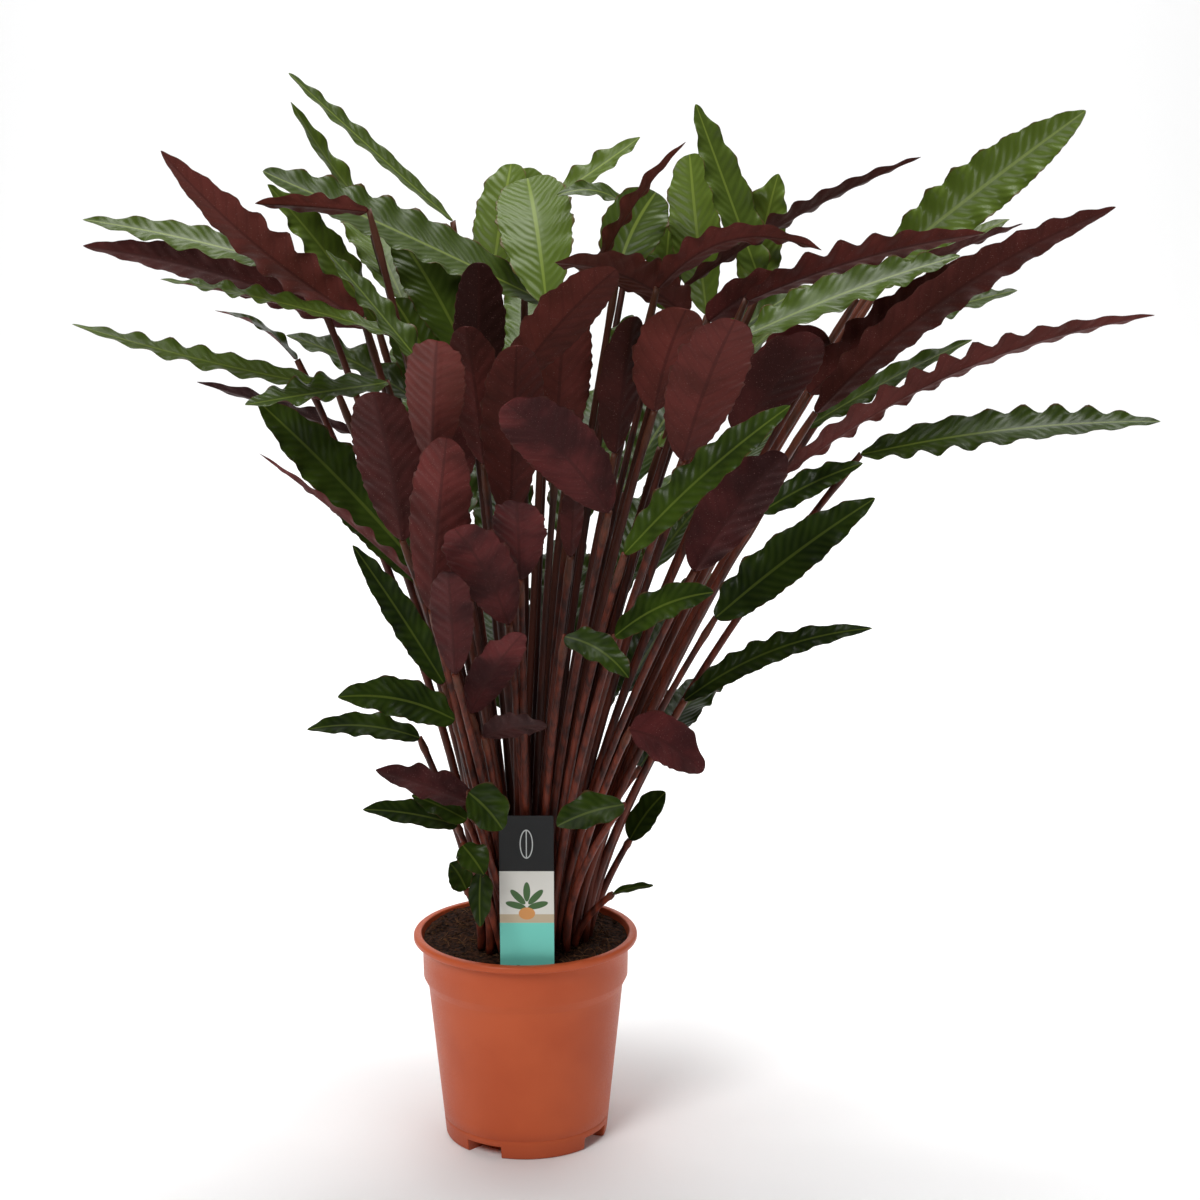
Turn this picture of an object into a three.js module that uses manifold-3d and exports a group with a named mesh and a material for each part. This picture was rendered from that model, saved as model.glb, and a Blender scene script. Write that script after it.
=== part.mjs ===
// A potted prayer plant with long waved leaves: grower's pot, root ball, care tag, and about a hundred
// leaves, each a waved blade on its own stalk. Units are millimetres, +Z is up, the front is -Y, and
// the origin is the middle of the pot's underside.

import * as THREE from 'three';
import { mergeVertices } from 'three/addons/utils/BufferGeometryUtils.js';
import Module from 'manifold-3d';

const wasm = await Module();
wasm.setup();

// Pot: a 21 cm grower's pot.
const POT_HEIGHT = 198;
const LIP_RADIUS = 105;
const LIP_HEIGHT = 7;
const LIP_INNER_RADIUS = 97.5;
const COLLAR_RADIUS = 96.5;
const STEP_TOP = 157;
const STEP_BOTTOM = 148;
const SHOULDER_RADIUS = 91.5;
const FOOT_RADIUS = 76.5;
const WALL = 2.2;
const POT_SIDES = 36;

// Drain recesses pressed into the pot's foot.
const RECESS_ANGLES = [-120, -30, 60, 150];
const RECESS_WIDTH = 32;
const RECESS_SLANT = 3;
const RECESS_HEIGHT = 12;
const RECESS_INNER = 58;
const RECESS_COVER = 3.4;
const SLOT_WIDTH = 10;
const SLOT_LOW = 4;
const SLOT_HIGH = 9;

// Root ball.
const SOIL_MIDDLE = 194;
const SOIL_EDGE = 192.5;
const SOIL_UNEVEN = 1.3;
const FIT_GAP = 0.35;

// Care tag.
const TAG_WIDTH = 49;
const TAG_TOP = 339;
const TAG_SHOULDER = 176;
const TAG_POINT = 118;
const TAG_POINT_WIDTH = 14;
const TAG_THICK = 0.8;
const TAG_X = 4;
const TAG_FOOT_Y = -78;
const TAG_LEAN = THREE.MathUtils.degToRad(5);

// Crown, where the stalks leave the soil in twos.
const CROWN_RADIUS = 62;
const CROWN_SPACING = 14;
const CROWN_ROUNDS = 80;
const SHEATH_HALF = 4.2;
const SHEATH_DEPTH = 45;
const SHEATH_TOP = 6;

// Stalks rise in one family of nested curves, radius = crown radius x (1 + (height / rise) ^ flare).
const STALK_RISE = 150;
const STALK_FLARE = 1.4;
const STALK_RADIUS_LOW = 4.1;
const STALK_RADIUS_HIGH = 3;
const STALK_STEPS = [0, 0.35, 0.7];

// Blades.
const RIB_THICK = 1.1;
const KEEL = 0.2;
const WAVE_SHARE = 0.2;
const SCALLOP = 0.06;
const CALM_WAVE = 0.3;
const SMOOTH_CALM = 0.8;
const LOW_POWER = 0.5;
const HIGH_POWER = 0.74;
const CALM_LOW_POWER = 0.6;
const CALM_HIGH_POWER = 0.44;

// The leaves push each other aside.
const SETTLE_ROUNDS = 40;
const SETTLE_STEP = 0.55;
const SETTLE_EASE = new THREE.Vector3(0.35, 1.5, 0.35);
const SHIFT_LIMIT = new THREE.Vector3(9, 45, 9);

// The eye point from which the leaves were sighted, on the upright plane through the pot's axis.
const EYE = new THREE.Vector3(70, -2330, 1000);

// One row for each leaf that shows from the front: where its blade starts and where it ends, as mm
// across and mm up on the upright plane through the pot's axis, sighted from the eye point, with each
// point's depth in mm (front is negative), then the blade's width, its arch, its turn in degrees, and
// how calm its margins are, from 0 to 1.
const SIGHTED = [
  // left side, from the top down
  [-61, 858, 60, -204, 986, 50, 28, 0, 62, 0.5],
  [-138, 868, 58, -202, 964, 44, 28, -2, 60, 0],
  [26, 785, 24, -229, 902, -20, 66, 4, 56, 0.6],
  [-122, 778, 50, -213, 894, 26, 44, 4, 42, 0],
  [-144, 770, -60, -318, 920, -60, 46, -8, 142, 0],
  [-190, 812, -30, -390, 858, -30, 39, 5, 53, 0],
  [-140, 765, -20, -391, 838, -10, 46, 12, 135, 0],
  [-104, 757, -80, -319, 809, -70, 38, 6, 72, 0],
  [-88, 722, -95, -176, 829, -80, 40, 2, 62, 0],
  [-168, 710, -45, -403, 767, -60, 34, -3, 60, 0],
  [-202, 735, -20, -275, 779, -10, 22, 10, 76, 0],
  [-90, 695, 12, -211, 757, 18, 50, 8, 60, 0],
  [-151, 668, 20, -293, 715, 20, 28, 3, 115, 0],
  [-122, 714, -54, -250, 694, -140, 44, 2, 62, 0],
  [-80, 524, -60, -240, 697, -90, 58, 5, 28, 0.3],
  [-90, 515, -100, -242, 645, -110, 24, 4, 103, 0],
  [-72, 438, -85, -150, 574, -110, 30, 2, 22, 0],
  [-58, 408, -96, -166, 434, -120, 40, 9, 28, 0],
  [-97, 384, -60, -201, 392, -80, 28, 8, 38, 0],
  [-52, 322, -103, -138, 353, -125, 34, 3, 145, 0],
  [-52, 300, -92, -104, 327, -95, 26, 2, 32, 0],
  [-63, 300, -70, -151, 315, -90, 28, 4, 38, 0],
  [-52, 330, -122, -21, 296, -124, 42, 3, 28, 0.3],
  [-58, 284, -95, -38, 257, -105, 30, 2, 22, 0],
  [-50, 236, -72, -66, 262, -80, 28, 2, 22, 0],
  [-42, 260, -85, -43, 203, -100, 24, 2, 28, 0],
  // front, wine-red faces towards the eye
  [-82, 640, -175, -76, 752, -290, 48, 12, 172, 0.85],
  [-80, 505, -160, -68, 662, -240, 50, 10, 172, 0.85],
  [-112, 565, -115, -134, 706, -190, 60, 8, 166, 0.85],
  [-15, 490, -150, -62, 583, -230, 50, 8, 170, 0.85],
  [-62, 448, -145, -68, 545, -215, 36, 6, 172, 0.85],
  [-55, 408, -95, 0, 489, -170, 36, 6, 165, 0.35],
  [-38, 385, -110, 20, 397, -170, 28, 4, 140, 0.35],
  [-4, 530, -160, -6, 602, -235, 44, 8, 170, 0.85],
  [78, 596, -180, -14, 696, -265, 58, 8, 162, 0.85],
  [146, 640, -170, 192, 768, -260, 60, 8, 168, 0.85],
  [156, 542, -140, 237, 650, -170, 54, 6, 155, 0.6],
  [-45, 690, -40, -38, 822, -60, 46, 6, 170, 0.9],
  [-35, 640, -125, -50, 765, -170, 44, 6, 168, 0.9],
  [-12, 590, -140, -5, 748, -205, 52, 8, 170, 0.9],
  [43, 555, -125, 47, 628, -180, 20, 4, 170, 0.35],
  [-8, 715, -90, 84, 816, -130, 50, 6, 155, 0.7],
  [150, 775, 0, 33, 820, -90, 60, 14, 122, 0.4],
  [195, 665, -70, 265, 756, -110, 58, 6, 155, 0.85],
  [98, 392, -115, 166, 352, -165, 45, 8, 155, 0.35],
  [92, 320, -120, 30, 299, -145, 36, 4, 35, 0.35],
  [98, 286, -10, 131, 332, -15, 30, 3, 30, 0.35],
  [82, 233, -50, 120, 241, -60, 14, 2, 60, 0.35],
  [92, 560, -180, 240, 697, -205, 38, 6, 35, 0.3],
  [82, 478, -150, 173, 520, -185, 34, 8, 35, 0.3],
  [40, 482, -150, 98, 444, -172, 32, 8, 35, 0],
  // right side, from the bottom up
  [148, 420, -50, 320, 488, -70, 28, 14, 30, 0],
  [176, 498, -80, 320, 609, -110, 46, 4, 22, 0],
  [217, 597, -60, 308, 641, -80, 28, 4, 30, 0],
  [306, 649, -70, 576, 679, -100, 47, 9, 52, 0],
  [238, 632, -90, 567, 775, -120, 46, 25, 112, 0],
  [264, 688, -60, 527, 872, -70, 42, 20, 147, 0],
  [257, 706, -30, 412, 832, -40, 46, 4, 148, 0],
  [203, 757, -60, 391, 826, -50, 50, 6, 52, 0],
  [200, 790, -10, 412, 849, -30, 42, 10, 125, 0],
  [300, 790, 20, 446, 856, 10, 30, 5, 108, 0],
  [328, 824, 60, 498, 955, 60, 56, 2, 16, 0.15],
  [150, 802, 30, 355, 914, 20, 38, 9, 108, 0],
  [120, 800, -50, 267, 833, -90, 36, 28, 122, 0],
  [255, 673, -20, 404, 753, -30, 32, 4, 55, 0],
  [320, 760, 40, 443, 797, 50, 40, 4, 60, 0],
  [320, 800, 80, 434, 860, 90, 40, 4, 58, 0],
  [207, 699, -20, 276, 754, -30, 60, 5, 152, 0.85],
  [160, 735, 30, 248, 800, 40, 44, 5, 48, 0],
  [165, 770, -2, 241, 811, 0, 36, 5, 142, 0],
  // top and middle
  [166, 775, 60, 149, 917, 110, 50, 10, 18, 1],
  [215, 800, 36, 152, 961, 60, 44, 2, 38, 0.2],
  [208, 800, 100, 228, 900, 110, 56, 4, 35, 0],
  [27, 884, 88, 102, 932, 102, 34, 0, 55, 0],
  [104, 862, 60, 33, 878, 40, 24, 14, 58, 0],
  [85, 814, 30, 117, 884, 60, 58, 6, 14, 0.9],
  [128, 780, 90, 133, 864, 110, 42, 4, 38, 0],
  [66, 813, -10, 146, 928, -20, 34, 8, 108, 0],
  [25, 785, 0, 10, 894, 110, 70, 16, 4, 1],
  [-30, 795, 62, -9, 910, 126, 50, 10, 22, 0.9],
  [2, 800, 80, 2, 906, 130, 50, 6, 15, 1],
  [-115, 781, 42, -165, 875, 120, 60, 8, 38, 0.5],
  [-50, 740, 10, -112, 850, 40, 56, 5, 25, 0.5],
  [-70, 680, 2, -115, 790, 28, 60, 8, 20, 0.5],
  [-135, 868, -44, -236, 874, -36, 26, 2, 128, 0],
  [84, 650, -40, 101, 772, -80, 44, 4, 150, 0.85],
  [79, 727, 20, 99, 775, 44, 30, 3, 30, 0],
  [30, 640, -50, 40, 790, -80, 60, 6, 165, 0.85],
  [117, 692, -50, 145, 783, -90, 58, 6, 165, 1],
  [-72, 600, -50, -60, 740, -90, 50, 6, 165, 0.85],
];

// The rear leaves, which the front hides, follow a rule: from the top down, each is set a golden-ratio
// step on across a fan behind the axis, which is wider the higher they are.
const REAR_COUNT = 15;
const REAR_FAN_MIDDLE = 78;
const REAR_FAN_LOW = 50;
const REAR_FAN_HIGH = 120;
const GOLDEN = 0.6180339887;
const REAR_LOW = 280;
const REAR_HIGH = 660;
const REAR_WIDTH = 66;

const up = new THREE.Vector3(0, 0, 1);

// The plant is about as full from front to back as its upright leaves allow: every sighted depth is
// drawn out.
const DEPTH_STRETCH = 1.25;

function sight(across, height, sightedDepth) {
  const depth = DEPTH_STRETCH * sightedDepth;
  const stretch = 1 + depth / -EYE.y;
  return new THREE.Vector3(EYE.x + (across - EYE.x) * stretch, depth, EYE.z + (height - EYE.z) * stretch);
}

function wrap(value) {
  return value - Math.floor(value);
}

function sightedLeaf(row) {
  const [ua, va, ya, ub, vb, yb, width, arch, turned, calm] = row;
  const turn = THREE.MathUtils.degToRad(turned);
  return { foot: sight(ua, va, ya), tip: sight(ub, vb, yb), width, arch, turn, calm };
}

function rearLeaf(index) {
  const turn = wrap(index * GOLDEN);
  const level = (index + 0.5) / REAR_COUNT;
  const fan = REAR_FAN_HIGH + (REAR_FAN_LOW - REAR_FAN_HIGH) * level;
  const angle = THREE.MathUtils.degToRad(REAR_FAN_MIDDLE + fan * (turn - 0.5));
  const out = new THREE.Vector3(Math.cos(angle), Math.sin(angle), 0);
  const height = REAR_HIGH + (REAR_LOW - REAR_HIGH) * level;
  const foot = out.clone().multiplyScalar(130 + 50 * level).addScaledVector(up, height);
  const tip = out.clone().multiplyScalar(330 - 10 * level).addScaledVector(up, height + 170 - 110 * level);
  return { foot, tip, width: REAR_WIDTH - 10 * level, arch: 12, turn: null, calm: 0.3 };
}

// The crown point is where the nested curve through the blade's foot meets the soil.
function addCrown(leaf) {
  const reach = Math.hypot(leaf.foot.x, leaf.foot.y);
  const height = leaf.foot.z - SOIL_MIDDLE;
  leaf.spread = 1 + Math.pow(Math.max(height, 1) / STALK_RISE, STALK_FLARE);
  leaf.out = new THREE.Vector3(leaf.foot.x / reach, leaf.foot.y / reach, 0);
  leaf.start = Math.min(reach / leaf.spread, CROWN_RADIUS);
  leaf.reach = reach;
  leaf.shift = { bend: new THREE.Vector3(), foot: new THREE.Vector3(), tip: new THREE.Vector3() };
  return leaf;
}

// Twos: the outermost leaf that is still single takes the single leaf nearest to it at the crown.
function pairUp(leaves) {
  const order = leaves.map((leaf, index) => index);
  order.sort((a, b) => leaves[b].start - leaves[a].start || a - b);
  const single = new Set(order);
  const shoots = [];
  for (const first of order) {
    if (!single.has(first)) continue;
    single.delete(first);
    const here = leaves[first].out.clone().multiplyScalar(leaves[first].start);
    let best = -1;
    let least = Infinity;
    for (const other of single) {
      const gap = here.distanceTo(leaves[other].out.clone().multiplyScalar(leaves[other].start));
      if (gap < least) {
        least = gap;
        best = other;
      }
    }
    const members = best < 0 ? [first] : [first, best];
    single.delete(best);
    const point = new THREE.Vector3();
    for (const member of members) {
      point.addScaledVector(leaves[member].out, leaves[member].start / members.length);
    }
    shoots.push({ members, point });
  }
  return shoots;
}

// Crown points closer than the spacing push each other away, inside the crown's circle.
function spaceCrown(shoots) {
  for (let round = 0; round < CROWN_ROUNDS; round += 1) {
    const moves = shoots.map(() => new THREE.Vector3());
    for (let i = 0; i < shoots.length; i += 1) {
      for (let j = 0; j < shoots.length; j += 1) {
        if (i === j) continue;
        const apart = shoots[i].point.clone().sub(shoots[j].point);
        const gap = Math.max(apart.length(), 0.01);
        if (gap < CROWN_SPACING) moves[i].addScaledVector(apart, (CROWN_SPACING - gap) / gap / 3);
      }
    }
    for (let i = 0; i < shoots.length; i += 1) {
      const point = shoots[i].point.add(moves[i]);
      point.clampLength(0, CROWN_RADIUS + 4);
    }
  }
}

function stalkPoint(leaf, t) {
  const height = (leaf.foot.z - SOIL_MIDDLE) * t;
  const radius = leaf.start * (1 + Math.pow(Math.max(height, 0) / STALK_RISE, STALK_FLARE));
  const nested = leaf.start * leaf.spread;
  const point = leaf.out.clone().multiplyScalar(radius + (leaf.reach - nested) * t * t);
  point.z = SOIL_MIDDLE + 2 + (leaf.foot.z - SOIL_MIDDLE - 2) * t;
  const away = leaf.crown.clone().addScaledVector(leaf.out, -leaf.start);
  point.addScaledVector(away, (1 - t) * (1 - t));
  point.addScaledVector(leaf.shift.bend, 4 * t * (1 - t));
  return point.addScaledVector(leaf.shift.foot, t * t);
}

function bladeEnds(leaf) {
  return [leaf.foot.clone().add(leaf.shift.foot), leaf.tip.clone().add(leaf.shift.tip)];
}

// Square to the blade's length, looking up and in towards the plant's axis.
function facingUp(leaf, along) {
  const level = new THREE.Vector3(along.x, along.y, 0);
  const heading = level.clone().multiplyScalar(level.length()).addScaledVector(leaf.out, 0.1).normalize();
  const flat = heading.clone().multiplyScalar(-along.z).addScaledVector(up, level.length());
  return flat.addScaledVector(along, -flat.dot(along)).normalize();
}

// A sighted leaf's turn is 0 where its green face meets the eye, 90 where it is seen edge-on with the
// green face up, and 180 where its wine-red face meets the eye. Rear leaves look up and in.
function bladeFrame(leaf) {
  const [foot, tip] = bladeEnds(leaf);
  const along = tip.clone().sub(foot).normalize();
  const flat = facingUp(leaf, along);
  const top = flat.clone();
  if (leaf.turn !== null) {
    const view = EYE.clone().sub(foot);
    view.addScaledVector(along, -view.dot(along)).normalize();
    const rise = along.clone().cross(view);
    if (rise.z - 0.3 * rise.dot(leaf.out) < 0) rise.negate();
    top.copy(view).multiplyScalar(Math.cos(leaf.turn)).addScaledVector(rise, Math.sin(leaf.turn));
  }
  const middle = foot.clone().add(tip).multiplyScalar(0.5).addScaledVector(flat, 2 * leaf.arch);
  return { foot, tip, middle, top };
}

// Quadratic curve from foot to tip.
function bladeCentre(frame, s) {
  const point = frame.foot.clone().multiplyScalar((1 - s) * (1 - s));
  point.addScaledVector(frame.middle, 2 * s * (1 - s));
  return point.addScaledVector(frame.tip, s * s);
}

function bladeDirection(frame, s) {
  const direction = frame.middle.clone().sub(frame.foot).multiplyScalar(1 - s);
  return direction.addScaledVector(frame.tip.clone().sub(frame.middle), s).normalize();
}

// Outline s^low (1-s)^high, scaled so that its widest place has the leaf's width. A waved leaf is
// widest below the middle and pointed; a calm one is an oval with a blunt tip.
function halfWidth(leaf, s) {
  const low = LOW_POWER + (CALM_LOW_POWER - LOW_POWER) * leaf.calm;
  const high = HIGH_POWER + (CALM_HIGH_POWER - HIGH_POWER) * leaf.calm;
  const widest = low / (low + high);
  const most = Math.pow(widest, low) * Math.pow(1 - widest, high);
  return 0.5 * leaf.width * Math.pow(s, low) * Math.pow(1 - s, high) / most;
}

// Sections along a blade: more on a longer leaf, one fewer on a smooth one.
function sectionCount(leaf) {
  const length = leaf.foot.distanceTo(leaf.tip);
  const fewer = leaf.calm > SMOOTH_CALM ? 1 : 0;
  if (length > 240) return 13 - fewer;
  if (length > 170) return 10 - fewer;
  if (length > 120) return 9 - fewer;
  return (length > 75 ? 8 : 6) - fewer;
}

function turnTo(vector, from, to) {
  return vector.clone().applyQuaternion(new THREE.Quaternion().setFromUnitVectors(from, to));
}

// A section of four points: right edge, top of the rib, left edge, underside of the rib.
function ring(centre, side, top, half, thick, liftRight, liftLeft, sink) {
  return [
    centre.clone().addScaledVector(side, half).addScaledVector(top, liftRight),
    centre.clone().addScaledVector(top, thick - sink),
    centre.clone().addScaledVector(side, -half).addScaledVector(top, liftLeft),
    centre.clone().addScaledVector(top, -thick - sink),
  ];
}

// Rings of four points from the stalk's base to the last section before the tip.
function leafRings(leaf, index) {
  const frame = bladeFrame(leaf);
  const count = sectionCount(leaf);
  const mirrored = index % 2 ? -1 : 1;
  const blade = [];
  for (let j = 1; j < count; j += 1) {
    const s = j / count;
    const direction = bladeDirection(frame, s);
    const side = direction.clone().cross(frame.top).normalize();
    const top = side.clone().cross(direction);
    const wave = (j % 2 ? -1 : 1) * (1 + (CALM_WAVE - 1) * leaf.calm);
    const half = halfWidth(leaf, s);
    const right = half * (KEEL / 2 + WAVE_SHARE * wave);
    const left = half * (KEEL / 2 + WAVE_SHARE * wave * mirrored);
    const sink = half * KEEL / 2;
    const thick = RIB_THICK * (1 - 0.5 * s);
    const across = half * (1 + SCALLOP * wave);
    blade.push(ring(bladeCentre(frame, s), side, top, across, thick, right, left, sink));
  }
  const arrive = stalkPoint(leaf, 1).sub(stalkPoint(leaf, 0.94)).normalize();
  const leave = bladeDirection(frame, 0);
  let direction = arrive.clone().add(leave).normalize();
  let side = turnTo(leave.clone().cross(frame.top).normalize(), leave, direction);
  const [thin, ahead] = [STALK_RADIUS_HIGH, side.clone().cross(direction)];
  const stalk = [ring(frame.foot, side, ahead, thin, thin, 0, 0, 0)];
  for (const t of [...STALK_STEPS].reverse()) {
    const next = stalkPoint(leaf, t + 0.03).sub(stalkPoint(leaf, Math.max(t - 0.03, 0))).normalize();
    side = turnTo(side, direction, next);
    direction = next;
    const radius = STALK_RADIUS_LOW + (STALK_RADIUS_HIGH - STALK_RADIUS_LOW) * t;
    stalk.unshift(ring(stalkPoint(leaf, t), side, side.clone().cross(direction), radius, radius, 0, 0, 0));
  }
  return { rings: [...stalk, ...blade], tip: frame.tip };
}

// The rings joined by triangles, split alike on both faces of the blade, and closed at both ends.
function loft({ rings, tip }) {
  const points = [...rings.flat(), tip];
  const faces = [0, 1, 2, 0, 2, 3];
  for (let j = 0; j + 1 < rings.length; j += 1) {
    for (let k = 0; k < 4; k += 1) {
      const a = 4 * j + k;
      const b = 4 * j + ((k + 1) % 4);
      const c = a + 4;
      const d = b + 4;
      if (k % 2 === 0) faces.push(a, c, b, b, c, d);
      else faces.push(a, c, d, a, d, b);
    }
  }
  const last = 4 * (rings.length - 1);
  for (let k = 0; k < 4; k += 1) faces.push(last + k, points.length - 1, last + ((k + 1) % 4));
  return solidFrom(points, faces);
}

function solidFrom(points, faces) {
  const vertProperties = new Float32Array(points.flatMap((point) => [point.x, point.y, point.z]));
  return new wasm.Manifold(new wasm.Mesh({ numProp: 3, vertProperties, triVerts: new Uint32Array(faces) }));
}

function solidOf(geometry, matrix) {
  const bare = geometry.clone();
  bare.deleteAttribute('normal');
  bare.deleteAttribute('uv');
  if (matrix) bare.applyMatrix4(matrix);
  const merged = mergeVertices(bare, 1e-4);
  return new wasm.Manifold(new wasm.Mesh({
    numProp: 3,
    vertProperties: new Float32Array(merged.attributes.position.array),
    triVerts: new Uint32Array(merged.index.array),
  }));
}

function meshOf(name, solid, material) {
  const { vertProperties, triVerts } = solid.getMesh();
  const geometry = new THREE.BufferGeometry();
  geometry.setAttribute('position', new THREE.BufferAttribute(vertProperties, 3));
  geometry.setIndex(new THREE.BufferAttribute(triVerts, 1));
  const mesh = new THREE.Mesh(geometry, material);
  mesh.name = name;
  return mesh;
}

// Lathed profiles are drawn as [radius, height], and stand up along +Z.
function lathe(profile, sides) {
  const points = profile.map(([radius, height]) => new THREE.Vector2(radius, height));
  return new THREE.LatheGeometry(points, sides).rotateX(Math.PI / 2);
}

function block(width, depth, height, x, y, z) {
  return new THREE.BoxGeometry(width, depth, height).translate(x, y, z);
}

// Samples of each leaf for the settling: how much of each shift they take, their radius and their place.
const STALK_SAMPLES = [0.15, 0.25, 0.35, 0.45, 0.55, 0.65, 0.75, 0.85, 0.95];
const BLADE_SAMPLES = [0.06, 0.18, 0.3, 0.42, 0.54, 0.66, 0.78, 0.9];
const ACROSS_SAMPLES = [-0.7, 0, 0.7];
const STALK_REACH = 5;
const BLADE_REACH = 10;

function samples(leaf) {
  const frame = bladeFrame(leaf);
  const list = STALK_SAMPLES.map((t) => (
    { at: stalkPoint(leaf, t), reach: STALK_REACH, bend: 4 * t * (1 - t), foot: t * t, tip: 0 }
  ));
  for (const s of BLADE_SAMPLES) {
    const side = bladeDirection(frame, s).cross(frame.top).normalize();
    for (const across of ACROSS_SAMPLES) {
      const at = bladeCentre(frame, s).addScaledVector(side, across * halfWidth(leaf, s));
      list.push({ at, reach: BLADE_REACH, bend: 0, foot: 1 - s, tip: s });
    }
  }
  return list;
}

// Fixed samples on the care tag, which the stalks bend clear of.
function tagSamples() {
  const list = [];
  for (let row = 0; row < 12; row += 1) {
    for (const across of [-22, -11, 0, 11, 22]) {
      const z = SOIL_MIDDLE + 5 + row * 13.5;
      const y = TAG_FOOT_Y - (z - TAG_POINT) * Math.tan(TAG_LEAN);
      list.push({ at: new THREE.Vector3(TAG_X + across, y, z), reach: 7 });
    }
  }
  return list;
}

function push(list, others, total) {
  for (const one of list) {
    for (const other of others) {
      const apart = one.at.clone().sub(other.at);
      const gap = apart.length();
      const wanted = one.reach + other.reach;
      if (gap >= wanted || gap < 1e-6) continue;
      apart.multiplyScalar((wanted - gap) / gap).multiply(SETTLE_EASE);
      for (const key of ['bend', 'foot', 'tip']) {
        total[key].addScaledVector(apart, one[key]);
        total.weight[key] += one[key];
      }
    }
  }
}

// Leaves give way mostly in depth, so that each keeps its place in the view from the front.
function settle(leaves) {
  const tag = tagSamples();
  const least = SHIFT_LIMIT.clone().negate();
  for (let round = 0; round < SETTLE_ROUNDS; round += 1) {
    const lists = leaves.map(samples);
    const boxes = lists.map((list) => new THREE.Box3().setFromPoints(list.map((one) => one.at)));
    boxes.forEach((box) => box.expandByScalar(BLADE_REACH));
    leaves.forEach((leaf, i) => {
      const total = { bend: new THREE.Vector3(), foot: new THREE.Vector3(), tip: new THREE.Vector3() };
      total.weight = { bend: 0, foot: 0, tip: 0 };
      lists.forEach((others, j) => {
        if (i !== j && boxes[i].intersectsBox(boxes[j])) push(lists[i], others, total);
      });
      push(lists[i], tag, total);
      for (const key of ['bend', 'foot', 'tip']) {
        const share = SETTLE_STEP / Math.max(total.weight[key], 1);
        leaf.next = leaf.next || {};
        leaf.next[key] = leaf.shift[key].clone().addScaledVector(total[key], share);
        leaf.next[key].clamp(least, SHIFT_LIMIT);
      }
    });
    leaves.forEach((leaf) => {
      leaf.shift = leaf.next;
      leaf.next = null;
    });
  }
}

function sheath(shoot, extra) {
  const half = SHEATH_HALF + extra;
  const low = SOIL_MIDDLE - SHEATH_DEPTH - extra;
  const high = extra ? SOIL_MIDDLE + 20 : SOIL_MIDDLE + SHEATH_TOP;
  const { x, y } = shoot.point;
  return solidOf(block(2 * half, 2 * half, high - low, x, y, (high + low) / 2));
}

function shootSolid(shoot, leaves) {
  let solid = sheath(shoot, 0);
  for (const member of shoot.members) solid = solid.add(loft(leafRings(leaves[member], member)));
  return solid;
}

// Shoots that still cross are fused into one node. Each node keeps the list of its leaves.
function fuseCrossing(shoots, leaves) {
  const solids = shoots.map((shoot) => shootSolid(shoot, leaves));
  const owner = solids.map((solid, index) => index);
  const find = (index) => (owner[index] === index ? index : find(owner[index]));
  const boxes = solids.map((solid) => {
    const { min, max } = solid.boundingBox();
    return new THREE.Box3(new THREE.Vector3(...min), new THREE.Vector3(...max));
  });
  for (let i = 0; i < solids.length; i += 1) {
    for (let j = i + 1; j < solids.length; j += 1) {
      if (find(i) === find(j) || !boxes[i].intersectsBox(boxes[j])) continue;
      if (!solids[i].intersect(solids[j]).isEmpty()) owner[find(j)] = find(i);
    }
  }
  const groups = new Map();
  solids.forEach((solid, index) => {
    const root = find(index);
    const group = groups.get(root) || { solid: null, members: [] };
    group.solid = group.solid ? group.solid.add(solid) : solid;
    group.members.push(...shoots[index].members);
    groups.set(root, group);
  });
  return [...groups.values()];
}

// Green where most of the node's leaves turn their upper face to the front, wine-red where they show
// the underside.
function leafColour(members, leaves) {
  const wine = members.filter((member) => leaves[member].turn > Math.PI / 2).length;
  return 2 * wine > members.length ? leafWine : leafGreen;
}

function recessShape(grow, inner, outer) {
  const half = RECESS_WIDTH / 2 + grow;
  const height = RECESS_HEIGHT + grow;
  const low = grow ? 0.5 : -5;
  const shape = new THREE.Shape([
    new THREE.Vector2(-half, low),
    new THREE.Vector2(half, low),
    new THREE.Vector2(half - RECESS_SLANT, height),
    new THREE.Vector2(-half + RECESS_SLANT, height),
  ]);
  const geometry = new THREE.ExtrudeGeometry(shape, { depth: outer - inner, bevelEnabled: false });
  return geometry.translate(0, 0, inner).rotateX(Math.PI / 2);
}

// The recess is drawn facing the front and turned to each of its places.
function recessSolid(angle, grow, inner, outer) {
  const turn = new THREE.Matrix4().makeRotationZ(THREE.MathUtils.degToRad(angle + 90));
  return solidOf(recessShape(grow, inner, outer), turn);
}

// Inner radius of the pot from the collar up to the rim, where it widens.
function rimWall(height) {
  const low = POT_HEIGHT - LIP_HEIGHT - 3;
  const share = (height - low) / (POT_HEIGHT - 2 - low);
  return COLLAR_RADIUS - WALL + (LIP_INNER_RADIUS - COLLAR_RADIUS + WALL) * share;
}

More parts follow.
